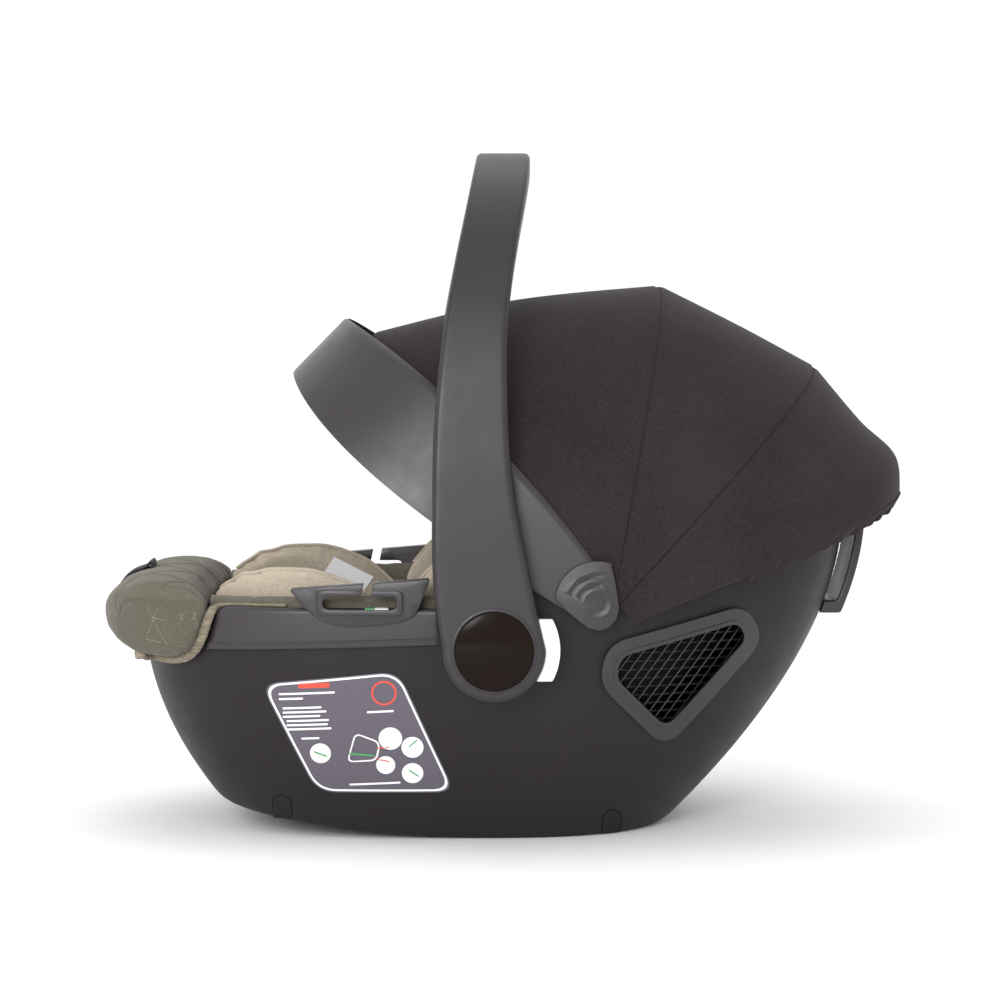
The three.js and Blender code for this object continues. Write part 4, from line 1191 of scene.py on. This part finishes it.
def crosswise(points, i, way):
    """Across and out of a run at one of its points; way says which side is out."""
    ahead = (points[min(i + 1, len(points) - 1)] - points[max(i - 1, 0)]).normalized()
    across = ahead.cross(way).normalized()
    return across, across.cross(ahead).normalized()


def sweep(name, points, ways, section, taper=0):
    """A section carried along points; ways gives the side that its thickness faces."""
    last = len(points) - 1

    def where(u, v):
        i = round(v * last)
        across, out = crosswise(points, i, ways[i])
        wide, thick = section[round(u * len(section)) % len(section)]
        end = min(i, last - i) / taper if taper and min(i, last - i) < taper else 1
        keep = math.sqrt(max(1 - (1 - end) ** 2, 0.02))
        return points[i] + across * wide * keep + out * thick * keep
    return skin(name, len(section), last, where, fill=True)


def stitches(name, surface, lines, long=3.0, pitch=4.6, thick=0.55):
    """Single stitches of thread laid on a surface along lines."""
    bpy.ops.object.select_all(action="DESELECT")
    bpy.ops.mesh.primitive_uv_sphere_add(segments=6, ring_count=4, radius=0.5)
    one = bpy.context.object
    one.name = name
    one.data.transform(Matrix.Diagonal((thick, thick * 0.8, long, 1)))
    form = one.data.copy()
    made = []
    for line in lines:
        places, ways = laid(surface, spaced(line, pitch), thick * 0.15)
        for i in range(len(places) - 1):
            ahead = (places[i + 1] - places[i]).normalized()
            turn = ahead.to_track_quat("Z", "Y").to_matrix().to_4x4()
            made.append(Matrix.Translation((places[i] + places[i + 1]) / 2) @ turn)
    one.data.transform(made[0])
    group = [one]
    for matrix in made[1:]:
        double = bpy.data.objects.new(name, form.copy())
        double.data.transform(matrix)
        bpy.context.scene.collection.objects.link(double)
        group.append(double)
    return join_all(group)


flap_outline = [(-239, 201), (-242, 192), (-253, 161), (-268, 151), (-300, 152), (-320, 160),
                (-336, 175), (-339, 190), (-331, 205), (-314, 216.5), (-290, 223), (-264, 221.5),
                (-246, 212)]
flap = plate("foot_flap", rounded(flap_outline, 12, 5), -205, 205)
combine(flap, level_solid("cutter", lambda z: (-341, 100, 188), 120, 245, 0), "INTERSECT")
combine(flap, level_solid("cutter", shell_ring, 60, 191, 1.8))
for vertex in flap.data.vertices:
    up = smooth_step(185, 222, vertex.co.z)
    vertex.co.z -= up * (8 + 3 * smooth_step(120, 190, abs(vertex.co.y)))
combine(flap, box("cutter", (-304, -25, 185), (-257, 25, 207)))
combine(flap, box("cutter", (-304, -21, 200), (-296.5, 21, 250)))
puffed(flap, 4.2, 5)


def flap_line(at, normal):
    if abs(normal.y) < 0.55:
        return diamond(at.x + 300, at.y, 58) if at.z > 190 else 99
    path = [(-323, 158), (-325, 176), (-317, 193), (-304, 201.5), (-272, 201), (-243, 200)]
    here = Vector((at.x, at.z))
    away = []
    for a, b in zip(path, path[1:]):
        start, run = Vector(a), Vector(b) - Vector(a)
        nearest = start + run * clamp01((here - start).dot(run) / run.length_squared)
        away.append((here - nearest).length)
    return min(away)


groove(flap, flap_line, 1.6, 2.0)
flap_surface = surface_of(flap)
binding_path = []
for side in (-1, 1):
    half = [(-177, 198.4, -6), (-205, 198.4, -5), (-232, 198, -2), (-239, 194, 4), (-243, 182, 7),
            (-249, 166, 7), (-258, 155, 7), (-272, 151, 7), (-290, 151, 7)]
    half = [Vector((x, side * shell_y(x, z, out), z)) for x, z, out in half]
    for angle, z in ((146, 154), (156, 158), (167, 162), (176, 163)):
        x, y = plan_point((-341, 100, 188), 0, math.radians(angle))
        half.append(Vector((x, side * abs(y), z)))
    binding_path += half if side < 0 else half[::-1]
places = spaced(binding_path, 3)
ways = []
for i, point in enumerate(places):
    away = Vector((point.x + 215, point.y, 0)).normalized()
    if point.x < -240:
        hit, normal, _, _ = flap_surface.ray_cast(point + away * 90, -away)
        if hit:
            places[i] = hit + away * 0.6
            away = (away + normal).normalized()
    elif point.x > -236:
        away = Vector((0, 0, 1))
    ways.append(away)
places, ways = eased(places, 6), eased(ways, 6)
widths = eased([2.6 if p.x > -236 else 8 for p in places], 3)


def binding_point(u, v):
    i = round(v * (len(places) - 1))
    across, out = crosswise(places, i, ways[i])
    angle = 2 * math.pi * u
    rib = 1 + 0.05 * math.sin(i * 2.4)
    return (places[i] + across * widths[i] / 2 * math.cos(angle) * rib
            + out * min(widths[i], 5.6) / 2 * math.sin(angle) * rib)


binding = skin("flap_binding", 14, len(places) - 1, binding_point, fill=True)
side_lines = [[(-337, 196), (-319, 178), (-303, 160)], [(-317, 197), (-330, 181), (-341, 168)],
              [(-329, 186.5), (-319, 186.5), (-306, 186)], [(-340, 166), (-328, 165), (-312, 163.5)],
              [(-282, 186), (-275, 193)], [(-275, 185), (-282, 193.5)],
              [(-262, 186), (-255, 193)], [(-255, 185), (-262, 193.5)]]
lines = [[Vector((x, side * 192, z)) for x, z in line] for line in side_lines for side in (-1, 1)]
flap_thread = stitches("flap_stitches", flap_surface, lines)
strip_lines = []
for side in (-1, 1):
    for i in range(6):
        x = -238 + 11 * i
        strip_lines.append([Vector((x + 2, side * shell_y(x, 200, -9.5), 199.5)),
                            Vector((x + 7, side * shell_y(x, 200, -14), 204))])
cover_thread = stitches("cover_stitches", cover_surface, strip_lines, long=2.2, pitch=3.4)
settle(flap, cover_fabric, "seat", "cover_fabric", "foot_flap", sharp=180)
flap.data.materials.append(side_fabric)
for face in flap.data.polygons:
    x, z = face.center.x / MM - shift, face.center.z / MM
    if abs(face.normal.y) > 0.5 and x > -325 + 0.5 * max(z - 178, 0) and z < 201:
        face.material_index = 1
settle(binding, binding_fabric, "seat", "cover_fabric", sharp=60)
settle(flap_thread, thread_finish, "seat", "cover_fabric", sharp=180)
settle(cover_thread, thread_finish, "seat", "cover_fabric", sharp=180)

# ---- Body insert and head insert ----
# Loose padded inserts for a newborn, in light twill over soft foam. Their raised wings
# are edged with piping, and a blank tag is sewn to one wing.
insert_fabric = cloth_finish("insert_fabric", (0.36, 0.305, 0.235), (0.42, 0.36, 0.285),
                             (0.52, 0.46, 0.375))
insert_top = [(-240, 50), (-242, 208, 6), (-217, 225, 8), (-186, 231.5, 12), (-150, 229, 10),
              (-116, 216, 8), (-90, 193, 6), (-62, 152, 6), (-20, 109, 8), (40, 90, 8), (60, 50)]
head_side = [(-86, 194, 4), (-82, 207, 6), (-56, 235, 10), (20, 245, 30), (110, 252, 30),
             (200, 285, 20), (286, 315, 8), (338, 315), (338, 60), (66, 60), (64, 92, 6), (42, 98, 8),
             (-17, 116, 8), (-57, 154, 8)]
strap_slots = (-69.5, -20.5, 0), (-62.5, 20.5, 120)


def insert(name, path, thick, voxel, most, floor_thick):
    piece = level_solid(name, bowl_ring, bowl_low + 1.5, 332, -1.5)
    combine(piece, level_solid("cutter", lambda z: bowl_ring(z - floor_thick),
                               bowl_low + thick - 2, 345, 2 - thick))
    combine(piece, plate("cutter", rounded(path, 5), -260, 260), "INTERSECT")
    combine(piece, box("cutter", *strap_slots))
    puffed(piece, voxel, most)
    return piece


body = insert("body_insert", insert_top, 12, 4.4, 5, floor_thick=7)
head = insert("head_insert", head_side, 22, 5, 5, floor_thick=0)
body_line = [(-238, 209), (-217, 226), (-186, 232.5), (-150, 230), (-116, 217), (-90, 194), (-62, 153),
             (-22, 112)]
head_line = [(-80, 208), (-56, 236), (20, 246), (110, 253), (200, 287), (262, 306)]
piped = []
for piece, line, inside in ((body, body_line, -6), (head, head_line, -3)):
    surface = surface_of(piece)
    for side in (-1, 1):
        points = [Vector((x, side * ring_half(bowl_ring(z), x, inside), z + 3)) for x, z in line]
        at, ways = laid(surface, spaced(points, 3), 0.7)
        end = "l" if side < 0 else "r"
        piped.append(sweep(f"piping_{piece.name}_{end}", at, ways, oval(3.4, 3.4)))


def insert_seam(at, normal):
    """The wings are sewn to the middle along a line below their tops."""
    if abs(normal.y) < 0.3:
        return min(abs(at.y), abs(abs(at.y) - 46))
    return abs(at.z - float(np.interp(at.x, (-236, -186, -118, -62), (190, 196, 176, 138))))


groove(body, insert_seam, 2.2, 2.4)
groove(head, lambda at, n: (min(abs(abs(at.y) - 60), abs((at.x + at.z) % 70 - 35))
                            if n.z > 0.3 else 99), 2.0, 2.6)
body_surface, head_surface = surface_of(body), surface_of(head)
tag = skin("blank_tag", 12, 12, lambda u, v: Vector((mix(-158, -122, u) + 9 * v, 132,
                                                    mix(201, 183, u) + 13 * v)))
for vertex in tag.data.vertices:
    start = Vector((vertex.co.x, 60, vertex.co.z))
    at, normal, _, _ = body_surface.ray_cast(start, Vector((0, 1, 0)))
    vertex.co = at + normal * 0.9 if at else vertex.co
apply(tag, "SOLIDIFY", thickness=0.5, offset=0)
settle(body, insert_fabric, "seat", "insert_fabric", "body_insert", sharp=180)
settle(head, insert_fabric, "seat", "insert_fabric", "head_insert", sharp=180)
for piece in piped:
    settle(piece, insert_fabric, "seat", "insert_fabric", sharp=60)
settle(tag, label_white, "seat", "insert_fabric", sharp=60)

# ---- Harness ----
# Flat woven straps run from slots behind the shoulders to a buckle between the legs.
# Padded sleeves lie over them, and a dark strap end comes out over the foot roll.
webbing, nodes, links = finish_nodes("webbing")
shader = nodes["Principled BSDF"]
place = nodes.new("ShaderNodeTexCoord").outputs["Object"]
weave = nodes.new("ShaderNodeTexVoronoi")
weave.inputs["Scale"].default_value = 620
links.new(place, weave.inputs["Vector"])
links.new(blended(nodes, links, weave.outputs["Distance"], (0.008, 0.0075, 0.009),
                  (0.034, 0.03, 0.035)), shader.inputs["Base Color"])
shader.inputs["Roughness"].default_value = 0.75
bumped(nodes, links, weave.outputs["Distance"], 0.7, 0.0004)
steel = moulded("steel", (0.5, 0.51, 0.52), (0.56, 0.57, 0.58), 0.3, grain=0.15, scuffs=0.3)
steel.node_tree.nodes["Principled BSDF"].inputs["Metallic"].default_value = 1
red_plastic = moulded("red_plastic", (0.38, 0.03, 0.025), (0.42, 0.04, 0.03), 0.38, grain=0.1)
foam = moulded("foam", (0.012, 0.011, 0.0115), (0.02, 0.0185, 0.019), 0.9, grain=1.0, grain_scale=260)


def raised(points, lift):
    """A route lifted clear of the padding under it."""
    route = []
    for point in spaced(points, 4):
        top = point.z
        for surface in (body_surface, head_surface):
            hit, _, _, _ = surface.ray_cast(point + Vector((-60, 0, 90)),
                                            Vector((60, 0, -90)).normalized(), 112)
            if hit:
                top = max(top, point.z + (hit - point).dot(Vector((-0.55, 0, 0.83))) + lift)
        route.append(Vector((point.x - 0.4 * (top - point.z), point.y, top)))
    return eased(route, 6)


def lying(route):
    """The way out of a strap that lies along a route in X and Z."""
    ways = []
    for i in range(len(route)):
        ahead = (route[min(i + 1, len(route) - 1)] - route[max(i - 1, 0)]).normalized()
        ways.append(Vector((-ahead.z, 0, ahead.x)) * (1 if ahead.x > 0 else -1))
    return ways


for side, name in sides:
    low = [(-31, 20, 80), (-31, 20, 91), (-24, 20, 97.5), (-6, 22, 97)]
    high = [(40, 28, 97), (84, 36, 108), (118, 40, 133), (146, 42, 158), (162, 42, 168),
            (182, 42, 176)]
    route = raised([(x, side * y, z) for x, y, z in low + high], 1.6)[:-3]
    route += [route[-1] + Vector((step, 0, 0.12 * step)) for step in (4, 8, 12, 16, 20, 24)]
    strap = sweep(f"strap_{name}", route, lying(route), oval(32, 2, 20, 6))
    middle = [p for p in route if 38 < p.x < 146]
    ways = lying(middle)
    pad = sweep(f"pad_{name}", [p + w * 3.4 for p, w in zip(middle, ways)], ways,
                oval(48, 7, 28, 3.4), taper=3)
    puffed(pad, 2.6, 5)
    groove(pad, lambda at, n: abs(abs(at.y) - 36) if n.z > 0.2 else 99, 1.0, 1.6)
    settle(strap, webbing, "seat", "webbing", f"shoulder_strap_{name}", sharp=50)
    settle(pad, insert_fabric, "seat", "insert_fabric", f"shoulder_pad_{name}", sharp=180)
crotch_route = [Vector((x, 0, z)) for x, z in ((-114, 82), (-92, 75), (-78, 72.5), (-42, 72.5))]
crotch_route = spaced(crotch_route, 4)
crotch_pad = sweep("crotch_pad", crotch_route, lying(crotch_route), oval(56, 6, 28, 3.4),
                   taper=2)
combine(crotch_pad, box("cutter", *strap_slots))
puffed(crotch_pad, 2.6, 5)
settle(crotch_pad, insert_fabric, "seat", "insert_fabric", "crotch_pad", sharp=180)
upright = [Vector((-66, 0, z)) for z in range(31, 84, 4)]
crotch_strap = sweep("crotch_strap", upright, [Vector((1, 0, 0))] * len(upright),
                     oval(38, 2, 20, 6))
settle(crotch_strap, webbing, "seat", "webbing", "crotch_strap", sharp=50)
over = spaced([(-300, 0, 196), (-300.3, 0, 212), (-301, 0, 226), (-308, 0, 227), (-324, 0, 218),
               (-340, 0, 206), (-346, 0, 192)], 3)
for i, point in enumerate(over):
    at, normal, _, _ = flap_surface.find_nearest(point)
    if point.x < -303:
        over[i] = at + normal * 1.7
over = eased(over, 3)
loose = sweep("adjuster_strap", over, lying(over), oval(37, 2.2, 20, 6))
settle(loose, webbing, "seat", "webbing", "adjuster_strap", sharp=50)


def softened(node, width, finish, body):
    """The same solid with its edges rounded, as moulding and stamping leave them."""
    piece = copy_of(frame["nodes"][node], f"{node}_rounded")
    alone(piece)
    tidy_mesh(piece, merge=0.00001)
    bevel(piece, width * MM, 3)
    give_finish(piece, finish, 35)
    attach(piece, body)
    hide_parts(node)


softened("buckle_housing", 2.4, satin_plastic, "seat")
softened("buckle_button", 1.6, red_plastic, "buckle_button")
softened("adjuster_button", 1.0, satin_plastic, "adjuster_button")
for name in ("left", "right"):
    softened(f"buckle_tongue_{name}", 0.5, steel, "seat")

# ---- Finishes of the hidden pieces ----
# The lock, pins, ribs and foam liner keep their drawn shape, and take the finish of
# what they are made of.
finishes = {"shell_plastic": shell_plastic, "satin_plastic": satin_plastic, "gloss_dark": gloss_plastic,
            "white_plastic": white_plastic, "red_plastic": red_plastic, "steel": steel,
            "canopy_fabric": canopy_fabric, "cover_fabric": cover_fabric, "insert_fabric": insert_fabric,
            "webbing": webbing, "foam": foam, "label_film": label_film, "rubber": rubber}
for entry in frame["record"]["subparts"]:
    part = frame["nodes"][entry["node"]]
    part.data.materials.clear()
    part.data.materials.append(finishes[entry["material_slot"]])
